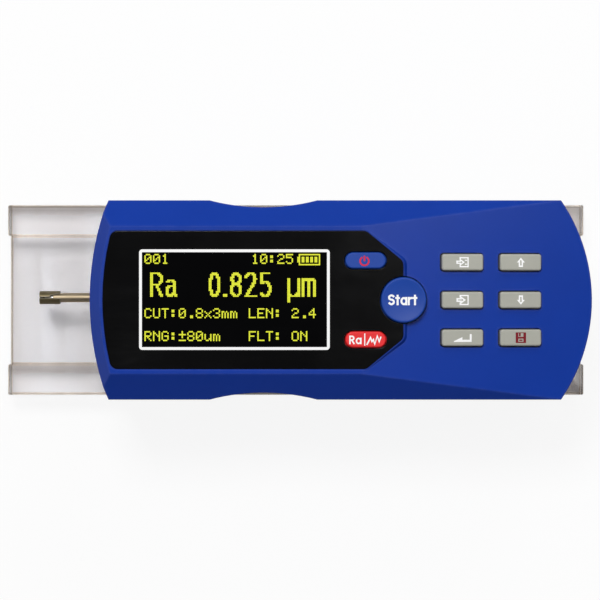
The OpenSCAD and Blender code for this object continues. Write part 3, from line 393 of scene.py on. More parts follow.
@dataclass(frozen=True)
class ClearFinish(Finish):
    """Clear cast acrylic: light bends through it and fine rubbing marks catch on its faces.

    Light that is still inside after a few reflections ends in a pale painted glow, and after a diffuse bounce passes
    clear, in place of the black of a bounce limit.

    Attributes:
        ior: Index of refraction.
        clear: Share of the light that passes.
        deep: Bounces after which light counts as trapped.
        trapped: Inner reflections after which it does.
        trapped_glow: Level of the pale glow painted in place of that trapped light.
        bands: Tone of the faint bands across the block, against its colour.
        smear_and_shade_streak: Colour of the painted shade along each rail's far side, if there is one; squared, it
            paints the grey shade of the rails' rear ends.
        painted_shade_span: Shares of a rail's width where the painted shade starts and is full.
        painted_rear_shade_span: Distances from a rail's rear end where its painted grey shade starts and is full, in
            millimetres.
        painted_rear_shade_share: Strength of that painted shade.
    """

    ior: float = 1.49
    clear: float = 1.0
    deep: float = 8.0
    trapped: float = 2.5
    trapped_glow: float = 0.6
    bands: Colour = (0.89, 0.875, 0.86)
    smear_and_shade_streak: Colour | None = None
    painted_shade_span: Point = (0.6, 0.82)
    painted_rear_shade_span: Point = (13.0, 8.0)
    painted_rear_shade_share: float = 0.85

    def rails(self, g: Graph, place: Socket) -> tuple[Socket, Socket]:
        """Masks of the painted shade on the far side of each rail's top face and at its rear end.

        Args:
            g: The material's graph.
            place: Object coordinates.

        Returns:
            Two value sockets.
        """
        spot = g.add("ShaderNodeSeparateXYZ", {0: place}).outputs
        facing = g.add("ShaderNodeSeparateXYZ", {0: g.add("ShaderNodeNewGeometry").outputs["Normal"]}).outputs
        level = g.math("GREATER_THAN", g.math("ABSOLUTE", facing["Z"]), 0.9)
        raised = g.math("GREATER_THAN", spot["Z"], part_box("stand_plate")[1].z + 0.5 * MM)
        mask = 0.0
        for node in ("far_rail", "near_rail"):
            low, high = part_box(node)
            wide = high.y - low.y
            rise = g.ramp(spot["Y"], *[low.y + share * wide for share in self.painted_shade_span])
            inside = g.math("LESS_THAN", spot["Y"], high.y + MM)
            mask = g.math("MAXIMUM", mask, g.math("MULTIPLY", rise, inside))
        top = g.math("MULTIPLY", level, raised)
        rear = g.ramp(spot["X"], *[high.x - away * MM for away in self.painted_rear_shade_span], 0.0, self.painted_rear_shade_share)
        return g.math("MULTIPLY", mask, top), g.math("MULTIPLY", rear, top)

    def tint(self, g: Graph, slow: Socket, fine: Socket) -> Socket:
        """Clear colour with faint bands, and where it has them, the painted shade of the rails' far sides and rear
        ends.

        Args:
            g: The material's graph.
            slow: Slow noise from the grain group, not used here.
            fine: Fine noise from the grain group, not used here.

        Returns:
            A colour socket.
        """
        place = g.add("ShaderNodeTexCoord").outputs["Object"]
        drawn = g.stretched(place, (1.0, 0.06, 0.06))
        band = g.add("ShaderNodeTexNoise", {"Vector": drawn, "Scale": 210.0, "Detail": 3.0}).outputs["Fac"]
        tone = g.mix(g.ramp(band, 0.35, 0.65), self.colour, tuple(c * k for c, k in zip(self.colour, self.bands)))
        # painted shade: a darker stripe along each rail's far side, and a darker grey at the rails' rear ends
        if self.smear_and_shade_streak:
            far, rear = self.rails(g, place)
            tone = g.mix(far, tone, self.smear_and_shade_streak)
            tone = g.mix(rear, tone, tuple(c * c for c in self.smear_and_shade_streak))
        return tone

    def build(self, material: bpy.types.Material) -> None:
        """Fills the material's node tree.

        Args:
            material: The new material.
        """
        g = Graph(material.node_tree)
        shader = material.node_tree.nodes["Principled BSDF"]
        grain = self.grained(g, 0.0)
        tone = self.tint(g, grain.outputs["Slow"], grain.outputs["Fine"])
        shader.inputs["Roughness"].default_value = self.roughness
        if self.smear:
            smear = g.add("ShaderNodeGroup", {"Roughness": self.roughness, "Amount": self.smear},
                          node_tree=Effect.SMEAR.tree())
            g.tree.links.new(smear.outputs["Roughness"], shader.inputs["Roughness"])
        g.tree.links.new(grain.outputs["Normal"], shader.inputs["Normal"])
        g.tree.links.new(tone, shader.inputs["Base Color"])
        shader.inputs["Metallic"].default_value = 0.0
        shader.inputs["Transmission Weight"].default_value = self.clear
        shader.inputs["IOR"].default_value = self.ior
        ray = g.add("ShaderNodeLightPath")
        lost = g.math("MAXIMUM", g.math("GREATER_THAN", ray.outputs["Ray Depth"], self.deep),
                      g.math("GREATER_THAN", ray.outputs["Glossy Depth"], self.trapped))
        first = g.math("LESS_THAN", ray.outputs["Diffuse Depth"], 0.5)
        clear = g.add("ShaderNodeBsdfTransparent", {"Color": (*self.colour, 1.0)})
        # painted glow that stands in for light trapped in the block
        pale = g.add("ShaderNodeEmission", {"Color": (*[self.trapped_glow * c for c in self.colour], 1.0)})
        rest = g.add("ShaderNodeMixShader", {0: first, 1: clear.outputs[0], 2: pale.outputs[0]})
        both = g.add("ShaderNodeMixShader", {0: lost, 1: shader.outputs[0], 2: rest.outputs[0]})
        g.tree.links.new(both.outputs[0], material.node_tree.nodes["Material Output"].inputs["Surface"])


@dataclass(frozen=True)
class GlowFinish(Finish):
    """Lit display dots: part of the colour comes from their own light."""

    glow: float = 0.0

    def tint(self, g: Graph, slow: Socket, fine: Socket) -> Socket:
        """Share of the colour that is left for the lamps, with a slight speckle."""
        body = tuple(c * (1.0 - self.glow) for c in self.colour)
        return g.mix(g.ramp(fine, *NOISE_SPAN), tuple(c * 0.9 for c in body), body)

    def build(self, material: bpy.types.Material) -> None:
        """Fills the material's node tree.

        Args:
            material: The new material.
        """
        super().build(material)
        shader = material.node_tree.nodes["Principled BSDF"]
        shader.inputs["Emission Color"].default_value = (*self.colour, 1.0)
        shader.inputs["Emission Strength"].default_value = self.glow


# What all prints share
PRINT = {"specular": 0.2, "depth": 0.002, "edge": 0.02, "wear_and_highlight": 0.0}


class Look(Enum):
    """Every finish used on the tester."""

    # on the case the pale rubbed-edge colour also paints a highlight along its edges
    CASE = Finish("moulded_blue", srgb(10, 54, 154), 0.5, specular=0.05, grain=3000.0, depth=0.01, mottle=0.03,
                  edge=0.7, wear_and_highlight=0.3, coat=0.28)
    PANEL = Finish("window_black", srgb(8, 8, 9), 0.14, specular=0.2, grain=1500.0, depth=0.0006, mottle=0.1,
                   edge=0.2, wear_and_highlight=0.05, smear=0.25)
    GLASS = Finish("display_glass", srgb(4, 4, 5), 0.08, specular=0.22, grain=1500.0, depth=0.0003, edge=0.02,
                   wear_and_highlight=0.0, smear=0.2)
    KEY_BLUE = Finish("blue_key_cap", srgb(22, 66, 158), 0.38, specular=0.2, depth=0.006, mottle=0.04, edge=0.35)
    KEY_RED = Finish("red_key_cap", srgb(232, 34, 38), 0.38, specular=0.3, depth=0.006, mottle=0.03, edge=0.35)
    KEY_GREY = Finish("grey_key_cap", srgb(173, 173, 163), 0.24, specular=0.3, depth=0.003, mottle=0.03, edge=0.5)
    # the acrylic's stripe colour is painted shade along the rails' far sides, and squared, at their rear ends
    ACRYLIC = ClearFinish("cast_acrylic", (0.978, 0.972, 0.988), 0.015, grain=900.0, depth=0.0004,
                          stretch=(0.08, 1.0, 1.0), smear=0.1, smear_and_shade_streak=(0.52, 0.47, 0.44))
    POLISHED = ClearFinish("polished_edge", (0.6, 0.5, 0.39), 0.06, grain=1800.0, depth=0.002,
                           stretch=(0.05, 1.0, 1.0), smear=0.3)
    SAWN = ClearFinish("sawn_edge", (0.93, 0.92, 0.91), 0.3, grain=2400.0, depth=0.01, stretch=(1.0, 0.1, 1.0),
                       clear=0.45)
    STEEL = Finish("ground_steel", (0.56, 0.55, 0.53), 0.28, metallic=1.0, grain=5200.0, depth=0.004,
                   stretch=(0.06, 1.0, 1.0), edge=0.08, wear_and_highlight=0.0)
    TUBE = Finish("pickup_steel", (0.36, 0.29, 0.19), 0.5, metallic=0.85, grain=5200.0, depth=0.004,
                  stretch=(0.05, 1.0, 1.0), mottle=0.12, edge=0.06, wear_and_highlight=0.0)
    ALLOY = Finish("machined_alloy", (0.66, 0.67, 0.69), 0.36, metallic=1.0, grain=4200.0, depth=0.005,
                   stretch=(1.0, 0.08, 1.0), edge=0.15)
    DARK_ALLOY = Finish("black_anodised", srgb(38, 38, 40), 0.45, metallic=0.6, grain=3600.0, depth=0.004,
                        edge=0.2, wear_and_highlight=0.2)
    HEAD = Finish("skid_metal", srgb(110, 99, 72), 0.48, metallic=0.7, grain=4800.0, depth=0.008, mottle=0.16,
                  edge=0.2, wear_and_highlight=0.2)
    BRASS = Finish("turned_brass", (0.7, 0.5, 0.2), 0.3, metallic=1.0, grain=4200.0, depth=0.004, edge=0.12)
    COPPER = Finish("wound_copper", (0.6, 0.26, 0.1), 0.4, metallic=0.9, grain=5200.0, depth=0.02,
                    stretch=(1.0, 0.05, 0.05), edge=0.1, wear_and_highlight=0.0)
    BLACK = Finish("moulded_black", srgb(26, 26, 27), 0.5, depth=0.008, edge=0.2)
    BOARD = BoardFinish("circuit_board", srgb(18, 92, 52), 0.38, depth=0.003, edge=0.1, wear_and_highlight=0.0)
    FOIL = Finish("laminate_foil", (0.62, 0.63, 0.65), 0.34, metallic=0.85, grain=700.0, depth=0.05, edge=0.4)
    DIAMOND = Finish("ground_diamond", (0.78, 0.76, 0.68), 0.08, specular=0.9, depth=0.001, edge=0.02, wear_and_highlight=0.0)
    INK_WHITE = Finish("white_print", srgb(252, 252, 252), 0.5, mottle=0.02, **PRINT)
    INK_RED = Finish("red_print", srgb(215, 30, 66), 0.5, mottle=0.05, **PRINT)
    INK_DARK_RED = Finish("dark_red_print", srgb(126, 22, 36), 0.5, mottle=0.05, **PRINT)
    DOTS = GlowFinish("lit_dots", srgb(240, 246, 64), 0.6, specular=0.1, depth=0.001, edge=0.01, wear_and_highlight=0.0, glow=0.85)

    def material(self) -> bpy.types.Material:
        """The finish's material."""
        return self.value.material()


SLOT_LOOKS: dict[str, Look] = {
    "case_blue": Look.CASE, "panel_black": Look.PANEL, "key_blue": Look.KEY_BLUE, "key_red": Look.KEY_RED,
    "key_grey": Look.KEY_GREY, "black_plastic": Look.BLACK, "board": Look.BOARD, "steel": Look.STEEL,
    "alloy": Look.ALLOY, "dark_alloy": Look.DARK_ALLOY, "brass": Look.BRASS, "copper": Look.COPPER,
    "diamond": Look.DIAMOND, "battery_foil": Look.FOIL, "clear_acrylic": Look.ACRYLIC,
}


def new_mesh(name: str, points: list, faces: list, look: Look, smooth: bool = False) -> bpy.types.Object:
    """Links a new mesh object.

    Args:
        name: Name of the piece.
        points: Vertices in metres.
        faces: Vertex numbers of each face.
        look: Finish of the piece.
        smooth: Whether its faces are shaded smooth.

    Returns:
        The new object.
    """
    mesh = bpy.data.meshes.new(name)
    mesh.from_pydata(points, [], faces)
    mesh.validate()
    mesh.materials.append(look.material())
    for face in mesh.polygons:
        face.use_smooth = smooth
    thing = bpy.data.objects.new(name, mesh)
    bpy.context.scene.collection.objects.link(thing)
    return thing


def bow(x: float, y: float, wide: float, high: float, start: float, end: float) -> list[Point]:
    """Points along part of an ellipse.

    Args:
        x: Middle along the line of writing.
        y: Middle above the line of writing.
        wide: Half the ellipse's width.
        high: Half its height.
        start: First angle in degrees.
        end: Last angle in degrees.

    Returns:
        The points in order.
    """
    turns = [math.radians(start + (end - start) * k / 16) for k in range(17)]
    return [(x + wide * math.cos(t), y + high * math.sin(t)) for t in turns]


# Middle lines of plain letters, a capital one unit high: the letter's width and its strokes
LETTERS: dict[str, tuple[float, list[list[Point]]]] = {
    "S": (0.6, [bow(0.3, 0.76, 0.3, 0.24, 35, 270) + bow(0.3, 0.26, 0.3, 0.26, 90, -145)]),
    "t": (0.34, [[(0.17, 0.96), (0.17, 0.0)], [(0.0, 0.71), (0.34, 0.71)]]),
    "a": (0.62, [bow(0.31, 0.355, 0.31, 0.355, 0, 360), [(0.62, 0.71), (0.62, 0.0)]]),
    "r": (0.3, [[(0.0, 0.71), (0.0, 0.0)], bow(0.32, 0.41, 0.32, 0.3, 180, 85)]),
    "R": (0.56, [[(0.0, 0.0), (0.0, 1.0)], [(0.0, 1.0)] + bow(0.28, 0.74, 0.26, 0.26, 90, -90) + [(0.0, 0.48)],
                 [(0.27, 0.48), (0.56, 0.0)]]),
    "A": (0.52, [bow(0.24, 0.5, 0.2, 0.2, 150, 0) + [(0.44, 0.07), (0.54, 0.0)],
                 [(0.44, 0.42)] + bow(0.18, 0.21, 0.18, 0.21, 90, 270) + [(0.44, 0.12)]]),
    "0": (0.46, [bow(0.23, 0.5, 0.23, 0.5, 0, 360)]),
    "2": (0.46, [bow(0.23, 0.74, 0.23, 0.26, 165, -25) + [(0.0, 0.0), (0.46, 0.0)]]),
    "5": (0.46, [[(0.44, 1.0), (0.04, 1.0), (0.02, 0.56)] + bow(0.22, 0.31, 0.24, 0.31, 115, -150)]),
    "8": (0.46, [bow(0.23, 0.76, 0.2, 0.24, 0, 360), bow(0.23, 0.27, 0.23, 0.27, 0, 360)]),
    ".": (0.06, [[(0.0, 0.0), (0.06, 0.0)], [(0.0, 0.06), (0.06, 0.06)]]),
    "u": (0.46, [[(0.0, 0.74), (0.0, -0.22)], [(0.0, 0.2)] + bow(0.23, 0.18, 0.23, 0.18, 180, 360) + [(0.46, 0.74)],
                 [(0.46, 0.74), (0.46, 0.0)]]),
    "m": (0.56, [[(0.0, 0.0), (0.0, 0.74)], bow(0.14, 0.6, 0.14, 0.14, 180, 0) + [(0.28, 0.0)],
                 bow(0.42, 0.6, 0.14, 0.14, 180, 0) + [(0.56, 0.0)]]),
}


def written(body: str, high: float, gap: float) -> tuple[list[list[Point]], float]:
    """Strokes of a word, from its lower left corner.

    Args:
        body: The word.
        high: Height of a capital's middle line.
        gap: Space between the middle lines of two letters.

    Returns:
        The strokes and the word's width.
    """
    strokes, x = [], 0.0
    for sign in body:
        wide, paths = LETTERS[sign]
        strokes += [[(x + high * px, high * py) for px, py in path] for path in paths]
        x += wide * high + gap
    return strokes, x - gap


# Step between crossing strokes of one print in millimetres, and how far a print looks for its surface in metres
LAYER = 0.004
SEARCH = 0.004


@dataclass
class Sketch:
    """Flat print made of simple shapes, drawn in millimetres and then laid on a CAD surface."""

    name: str
    points: list[tuple[float, float, float]] = field(default_factory=list)
    faces: list[tuple] = field(default_factory=list)
    layer: float = 0.0

    def poly(self, *corners: Point) -> "Sketch":
        """Adds one filled outline.

        Args:
            *corners: Corners of the outline, anticlockwise.

        Returns:
            The sketch itself.
        """
        start = len(self.points)
        self.points += [(x, y, self.layer) for x, y in corners]
        self.faces.append(tuple(range(start, start + len(corners))))
        return self

    def over(self) -> "Sketch":
        """Raises what follows a little, so that shapes which cross don't lie in one plane."""
        self.layer += LAYER
        return self

    def box(self, x: float, y: float, wide: float, high: float) -> "Sketch":
        """Adds a filled rectangle about its middle."""
        a, b = wide / 2, high / 2
        return self.poly((x - a, y - b), (x + a, y - b), (x + a, y + b), (x - a, y + b))

    def line(self, width: float, *path: Point, closed: bool = False) -> "Sketch":
        """Adds a stroke with mitred joints and, where it is open, square ends.

        Args:
            width: Width of the stroke.
            *path: Points along its middle.
            closed: Whether the last point joins the first.

        Returns:
            The sketch itself.
        """
        spots = [Vector(p) for k, p in enumerate(path) if k == 0 or math.dist(p, path[k - 1]) > 1e-4]
        count = len(spots)
        ways = [(spots[(k + 1) % count] - spots[k]).normalized() for k in range(count if closed else count - 1)]
        sides = []
        for k, spot in enumerate(spots):
            before = ways[k - 1] if closed or k > 0 else ways[k]
            after = ways[k] if k < len(ways) else ways[-1]
            across = Vector((-(before + after).y, (before + after).x)).normalized()
            reach = width / 2 / max(across.dot(Vector((-after.y, after.x))), 0.45)
            end = 0.0 if closed or 0 < k < count - 1 else width / 2 * (-1 if k == 0 else 1)
            sides.append([tuple(spot + after * end + across * reach * turn) for turn in (-1, 1)])
        for k in range(len(ways)):
            n = (k + 1) % count
            self.poly(sides[k][0], sides[n][0], sides[n][1], sides[k][1])
        return self.over()

    def arc(self, x: float, y: float, radius: float, width: float, start: float, end: float, steps: int = 28
            ) -> "Sketch":
        """Adds a curved stroke between two angles in degrees."""
        turn = [math.radians(start + (end - start) * k / steps) for k in range(steps + 1)]
        return self.line(width, *[(x + radius * math.cos(a), y + radius * math.sin(a)) for a in turn])

    def frame(self, wide: float, high: float, radius: float, width: float) -> "Sketch":
        """Adds a rectangular outline with round corners about the origin.

        Args:
            wide: Outer width.
            high: Outer height.
            radius: Outer radius of the corners.
            width: Width of the stroke.

        Returns:
            The sketch itself.
        """
        rings = []
        for inset in (0.0, width):
            r = max(radius - inset, 0.05)
            ring = []
            for k, (sx, sy) in enumerate(((1, 1), (-1, 1), (-1, -1), (1, -1))):
                cx, cy = sx * (wide / 2 - inset - r), sy * (high / 2 - inset - r)
                turns = [math.radians(90 * k + 15 * j) for j in range(7)]
                ring += [(cx + r * math.cos(t), cy + r * math.sin(t)) for t in turns]
            rings.append(ring)
        count = len(rings[0])
        for k in range(count):
            n = (k + 1) % count
            self.poly(rings[1][k], rings[0][k], rings[0][n], rings[1][n])
        return self

    def word(self, body: str, high: float, pen: float, gap: float, x: float, y: float, stretch: float = 1.0
             ) -> "Sketch":
        """Adds a word about its middle.

        Args:
            body: The word.
            high: Height of a capital.
            pen: Width of the strokes.
            gap: Space between two letters.
            x: Middle of the word.
            y: Middle of a capital's height.
            stretch: Widening of the letters.

        Returns:
            The sketch itself.
        """
        strokes, wide = written(body, high - pen, (gap + pen) / stretch)
        for path in strokes:
            ring = math.dist(path[0], path[-1]) < 1e-6
            self.line(pen, *[(x + stretch * (px - wide / 2), y + py - (high - pen) / 2)
                             for px, py in (path[:-1] if ring else path)], closed=ring)
        return self

    def lay(self, place: Matrix, node: str, look: Look, body: str, lift: float = 0.025) -> bpy.types.Object:
        """Lays the print on a CAD node.

        Args:
            place: Where the sketch's origin and axes go, in metres.
            node: CAD node whose surface the print follows.
            look: Finish of the print.
            body: CAD body that the print rides on.
            lift: Height of the print above the surface in millimetres.

        Returns:
            The new piece.
        """
        cad = frame["nodes"][node].data
        cad.calc_loop_triangles()
        tree = BVHTree.FromPolygons([v.co for v in cad.vertices], [t.vertices for t in cad.loop_triangles])
        out = (place.to_3x3() @ Vector((0, 0, 1))).normalized()
        laid = []
        for x, y, layer in self.points:
            spot = place @ Vector((x * MM, y * MM, 0))
            hit = tree.ray_cast(spot + out * SEARCH, -out, 2 * SEARCH)[0]
            laid.append((hit if hit else spot) + out * (lift + layer) * MM)
        thing = new_mesh(self.name, laid, self.faces, look)
        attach(thing, body)
        LOG.info("print %s on %s", self.name, node)
        return thing


# Rows of a small five by seven dot font, five bits in each of seven numbers
FONT = {
    "0": (14, 17, 19, 21, 25, 17, 14), "1": (4, 12, 4, 4, 4, 4, 14), "2": (14, 17, 1, 6, 8, 16, 31),
    "3": (14, 17, 1, 6, 1, 17, 14), "4": (2, 6, 10, 18, 31, 2, 2), "5": (31, 16, 30, 1, 1, 17, 14),
    "8": (14, 17, 17, 14, 17, 17, 14), ":": (0, 12, 12, 0, 12, 12, 0), ".": (0, 0, 0, 0, 0, 6, 6),
    "C": (14, 17, 16, 16, 16, 17, 14), "E": (31, 16, 16, 30, 16, 16, 31), "F": (31, 16, 16, 30, 16, 16, 16),
    "G": (14, 17, 16, 23, 17, 17, 14), "L": (16, 16, 16, 16, 16, 16, 31), "N": (17, 25, 21, 19, 17, 17, 17),
    "O": (14, 17, 17, 17, 17, 17, 14), "R": (30, 17, 17, 30, 20, 18, 17), "T": (31, 4, 4, 4, 4, 4, 4),
    "U": (17, 17, 17, 17, 17, 17, 14), "m": (0, 0, 26, 21, 21, 21, 21), "u": (0, 0, 17, 17, 17, 19, 13),
    "x": (0, 0, 17, 10, 4, 10, 17), "+": (4, 4, 31, 4, 4, 0, 31), " ": (0, 0, 0, 0, 0, 0, 0),
}


@dataclass
class Screen:
    """Lit dot display behind the window and the white line round it. Lengths in millimetres."""

    wide: float = 53.1
    high: float = 28.0
    columns: int = 128
    rows: int = 64
    pitch: float = 0.398
    dot: float = 0.365

    def __post_init__(self) -> None:
        """Starts with every dot dark."""
        self.lit: set[tuple[int, int]] = set()

    def small(self, body: str, column: int, row: int) -> None:
        """Lights a line of small letters.

        Args:
            body: The line.
            column: Column of its upper left dot.
            row: Row of that dot.
        """
        for k, sign in enumerate(body):
            for r, bits in enumerate(FONT[sign]):
                for c in range(5):
                    if bits >> (4 - c) & 1:
                        self.lit.add((column + 6 * k + c, row + r))

    def large(self, body: str, column: float, row: float, high: float, gap: float, stretch: float) -> None:
        """Lights large letters with a pen two dots wide and one high that follows the letters' strokes.

        Args:
            body: The word.
            column: Left end of the word.
            row: Top of a capital.
            high: Height of a capital in dots.
            gap: Dots between two letters.
            stretch: Widening of the letters.
        """
        for path in written(body, high - 1, gap / stretch)[0]:
            for a, b in zip(path, path[1:]):
                steps = max(2, math.ceil(4 * math.dist(a, b)))
                for k in range(steps + 1):
                    x = column + round(stretch * (a[0] + (b[0] - a[0]) * k / steps))
                    y = row + round(high - 1 - a[1] - (b[1] - a[1]) * k / steps)
                    self.lit |= {(x, y), (x + 1, y)}

    def battery(self, column: int, row: int) -> None:
        """Lights a small battery sign with four bars.

        Args:
            column: Column of its upper left dot.
            row: Row of that dot.
        """
        for c in range(15):
            self.lit |= {(column + c, row), (column + c, row + 7)}
        for r in range(8):
            self.lit |= {(column, row + r), (column + 14, row + r)}
        self.lit |= {(column - 1, row + r) for r in (2, 3, 4, 5)}
        for bar in range(4):
            self.lit |= {(column + 2 + 3 * bar + c, row + r) for c in range(2) for r in range(2, 6)}

    def build(self, place: Matrix) -> None:
        """Draws the line and the lit dots on the window.

        Args:
            place: Middle and axes of the display on the window's face.
        """
        Sketch("display_glass").box(0, 0, self.wide - 1.0, self.high - 1.0).lay(
            place, "display_window", Look.GLASS, "tester", 0.012)
        Sketch("display_line").frame(self.wide, self.high, 0.9, 0.78).lay(
            place, "display_window", Look.INK_WHITE, "tester")
        self.small("001", 1, 0)
        self.small("10:25", 76, 0)
        self.battery(109, 0)
        self.large("RA", 5, 13, 17.0, 3.4, 0.8)
        self.large("0.825", 46, 13, 17.0, 3.9, 0.86)
        self.large("um", 101, 13, 17.0, 3.4, 0.9)
        self.small("CUT:0.8x3mm", 1, 38)
        self.small("LEN: 2.4", 74, 38)
        self.small("RNG:+80um", 1, 54)
        self.small("FLT: ON", 74, 54)
        dots = Sketch("display_dots")
        for column, row in sorted(self.lit):
            dots.box((column + 0.5 - self.columns / 2) * self.pitch, (self.rows / 2 - row - 0.5) * self.pitch,
                     self.dot, self.dot)
        dots.lay(place, "display_window", Look.DOTS, "tester")


@dataclass
class Window:
    """Black panel and the middle of its display, in millimetres from the case's front end and from its axis."""

    middle: Point = (40.6, 0.1)

    def build(self) -> None:
        """Adds the display to the panel."""
        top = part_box("display_window")[1].z
        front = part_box("upper_cover")[0].x
        Screen().build(Matrix.Translation((front + self.middle[0] * MM, self.middle[1] * MM, top)))


class Sign(Enum):
    """Signs on the keys."""

    POWER = "power_key"
    PROFILE = "profile_key"
    START = "start_key"
    MENU = "menu_key"
    BACK = "back_key"
    ENTER = "enter_key"
    UP = "up_key"
    DOWN = "down_key"
    SAVE = "save_key"

    def draw(self) -> tuple[Sketch, Look]:
        """Draws the sign.

        Returns:
            The sign's print and its finish.
        """
        sketch = Sketch(self.value + "_sign")
        return {Sign.POWER: self._power, Sign.PROFILE: self._profile, Sign.START: self._start, Sign.MENU: self._page,
                Sign.BACK: self._page, Sign.ENTER: self._enter, Sign.UP: self._arrow, Sign.DOWN: self._arrow,
                Sign.SAVE: self._disk}[self](sketch)

    def _power(self, s: Sketch) -> tuple[Sketch, Look]:
        """Broken ring with a stem."""
        return s.arc(-0.31, -0.17, 1.2, 0.45, 128, 412).line(0.45, (-0.31, 0.0), (-0.31, 1.1)), Look.INK_RED

    def _profile(self, s: Sketch) -> tuple[Sketch, Look]:
        """Two letters, a bar and a rough profile."""
        s.word("Ra", 2.4, 0.42, 0.28, -2.83, -0.1).line(0.3, (-0.23, -1.55), (-0.23, 1.55))
        return s.line(0.42, (0.44, -1.3), (1.37, 0.53), (1.77, -0.53), (2.17, 0.0), (2.57, -1.3), (3.24, 1.0),
                      (3.77, -0.6), (4.2, 0.6)), Look.INK_WHITE

    def _start(self, s: Sketch) -> tuple[Sketch, Look]:
        """The word that starts a measurement."""
        return s.word("Start", 3.0, 0.56, 0.12, 0.18, 0.05, 0.905), Look.INK_WHITE

    def _page(self, s: Sketch) -> tuple[Sketch, Look]:
        """Page with an arrow that enters it from the left.

        Args:
            s: The empty print.

        Returns:
            The print and its finish.
        """
        s.line(0.36, (-0.75, 0.85), (-0.75, 1.25), (1.5, 1.25), (1.5, -1.25), (-0.75, -1.25), (-0.75, -0.85))
        if self is Sign.MENU:
            s.line(0.3, (0.75, 0.55), (1.05, 0.55)).line(0.3, (0.75, -0.55), (1.05, -0.55))
            return s.line(0.36, (-1.65, 0.28), (-0.7, 0.28), (-0.7, 0.72), (0.25, 0.0), (-0.7, -0.72), (-0.7, -0.28),
                          (-1.65, -0.28), closed=True), Look.INK_WHITE
        return s.line(0.42, (-1.6, 0.34), (-0.5, 0.34), (-0.5, 0.78), (0.55, 0.0), (-0.5, -0.78), (-0.5, -0.34),
                      (-1.6, -0.34), closed=True), Look.INK_WHITE

    def _enter(self, s: Sketch) -> tuple[Sketch, Look]:
        """Bent arrow to the left."""
        s.poly((-2.55, -0.95), (-0.1, 0.2), (-0.1, -1.15), (-2.55, -1.15))
        return s.box(1.21, -0.85, 2.62, 0.6).box(2.245, 0.25, 0.55, 1.6), Look.INK_WHITE

    def _arrow(self, s: Sketch) -> tuple[Sketch, Look]:
        """Outlined arrow up or down.

        Args:
            s: The empty print.

        Returns:
            The print and its finish.
        """
        way = 1 if self is Sign.UP else -1
        shape = ((0, 1.0), (0.72, 0.15), (0.4, 0.15), (0.4, -1.1), (-0.4, -1.1), (-0.4, 0.15), (-0.72, 0.15))
        return s.line(0.42, *[(x, way * y) for x, y in shape], closed=True), Look.INK_WHITE

    def _disk(self, s: Sketch) -> tuple[Sketch, Look]:
        """Square disk with a shutter and a label left bare."""
        s.box(-1.1, 0, 0.75, 2.95).box(1.1, 0, 0.75, 2.95).box(0, 0.0, 1.5, 0.5).box(0, -1.3, 1.5, 0.35)
        return s.box(0, -0.72, 0.9, 0.4).box(0, 1.38, 1.5, 0.2).box(-0.3, 0.85, 0.5, 0.9), Look.INK_DARK_RED


class Keys:
    """Signs on all the keys, each riding its own key."""

    @staticmethod
    def place(node: str) -> Matrix:
        """Middle of a key's top and its axes, taken from its joint and its CAD surface.

        Args:
            node: The key's CAD node.

        Returns:
            A matrix in metres.
        """
        joint = next(j for j in frame["joints"] if j["child"] == node)
        up = -Vector(joint["axis"]).normalized()
        across = Vector((0, 1, 0))
        along = across.cross(up).normalized()
        points = [v.co for v in frame["nodes"][node].data.vertices]
        top = max(p.dot(up) for p in points)
        spans = [[p.dot(a) for p in points] for a in (along, across)]
        mid = [(min(s) + max(s)) / 2 for s in spans]
        spot = along * mid[0] + across * mid[1] + up * top
        return Matrix.Translation(spot) @ Matrix((along, across, up)).transposed().to_4x4()

    def build(self) -> None:
        """Draws every sign."""
        for sign in Sign:
            sketch, look = sign.draw()
            sketch.lay(self.place(sign.value), sign.value, look, sign.value)


@dataclass
class Stand:
    """Clear stand: plate and rails as one block of acrylic, and the width of its polished edges in millimetres."""

    polish: float = 0.42

    def build(self) -> None:
        """Builds the block and puts it in place of the three CAD nodes."""
        low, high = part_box("stand_plate")
        far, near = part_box("far_rail"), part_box("near_rail")
        section = [(low.y, low.z), (high.y, low.z), (high.y, far[1].z), (far[0].y, far[1].z), (far[0].y, high.z),
                   (near[1].y, high.z), (near[1].y, near[1].z), (low.y, near[1].z)]
        count = len(section)
        points = [(x, y, z) for x in (low.x, high.x) for y, z in section]
        faces = [tuple(range(count))[::-1], tuple(range(count, 2 * count))]
        faces += [(k, (k + 1) % count, count + (k + 1) % count, count + k) for k in range(count)]
        block = new_mesh("clear_stand", points, faces, Look.ACRYLIC)
        for look in (Look.SAWN, Look.POLISHED):
            block.data.materials.append(look.material())
        for end in block.data.polygons[:2]:
            end.material_index = 1
        edge = block.modifiers.new("polished_edges", "BEVEL")
        edge.width = self.polish * MM
        edge.segments = 2
        edge.limit_method = "ANGLE"
        edge.material = 2
        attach(block, "tester")
        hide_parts("stand_plate", "far_rail", "near_rail")
        LOG.info("clear stand")


class Nodes:
    """Finishes of the CAD nodes that are shown as they are."""

    OWN: dict[str, Look] = {"pickup_tube": Look.TUBE, "skid_head": Look.HEAD}

    def dress(self) -> None:
        """Gives each CAD node the finish of its material slot."""
        slots = {s["node"]: s["material_slot"] for s in frame["record"]["subparts"]}
        for name, thing in frame["nodes"].items():
            look = self.OWN.get(name, SLOT_LOOKS[slots[name]])
            thing.data.materials.clear()
            thing.data.materials.append(look.material())
            LOG.info("node %s in %s", name, look.value.name)


# What the lights are aimed at
TESTER_MIDDLE: Place = (0.0, 0.0, 0.04)


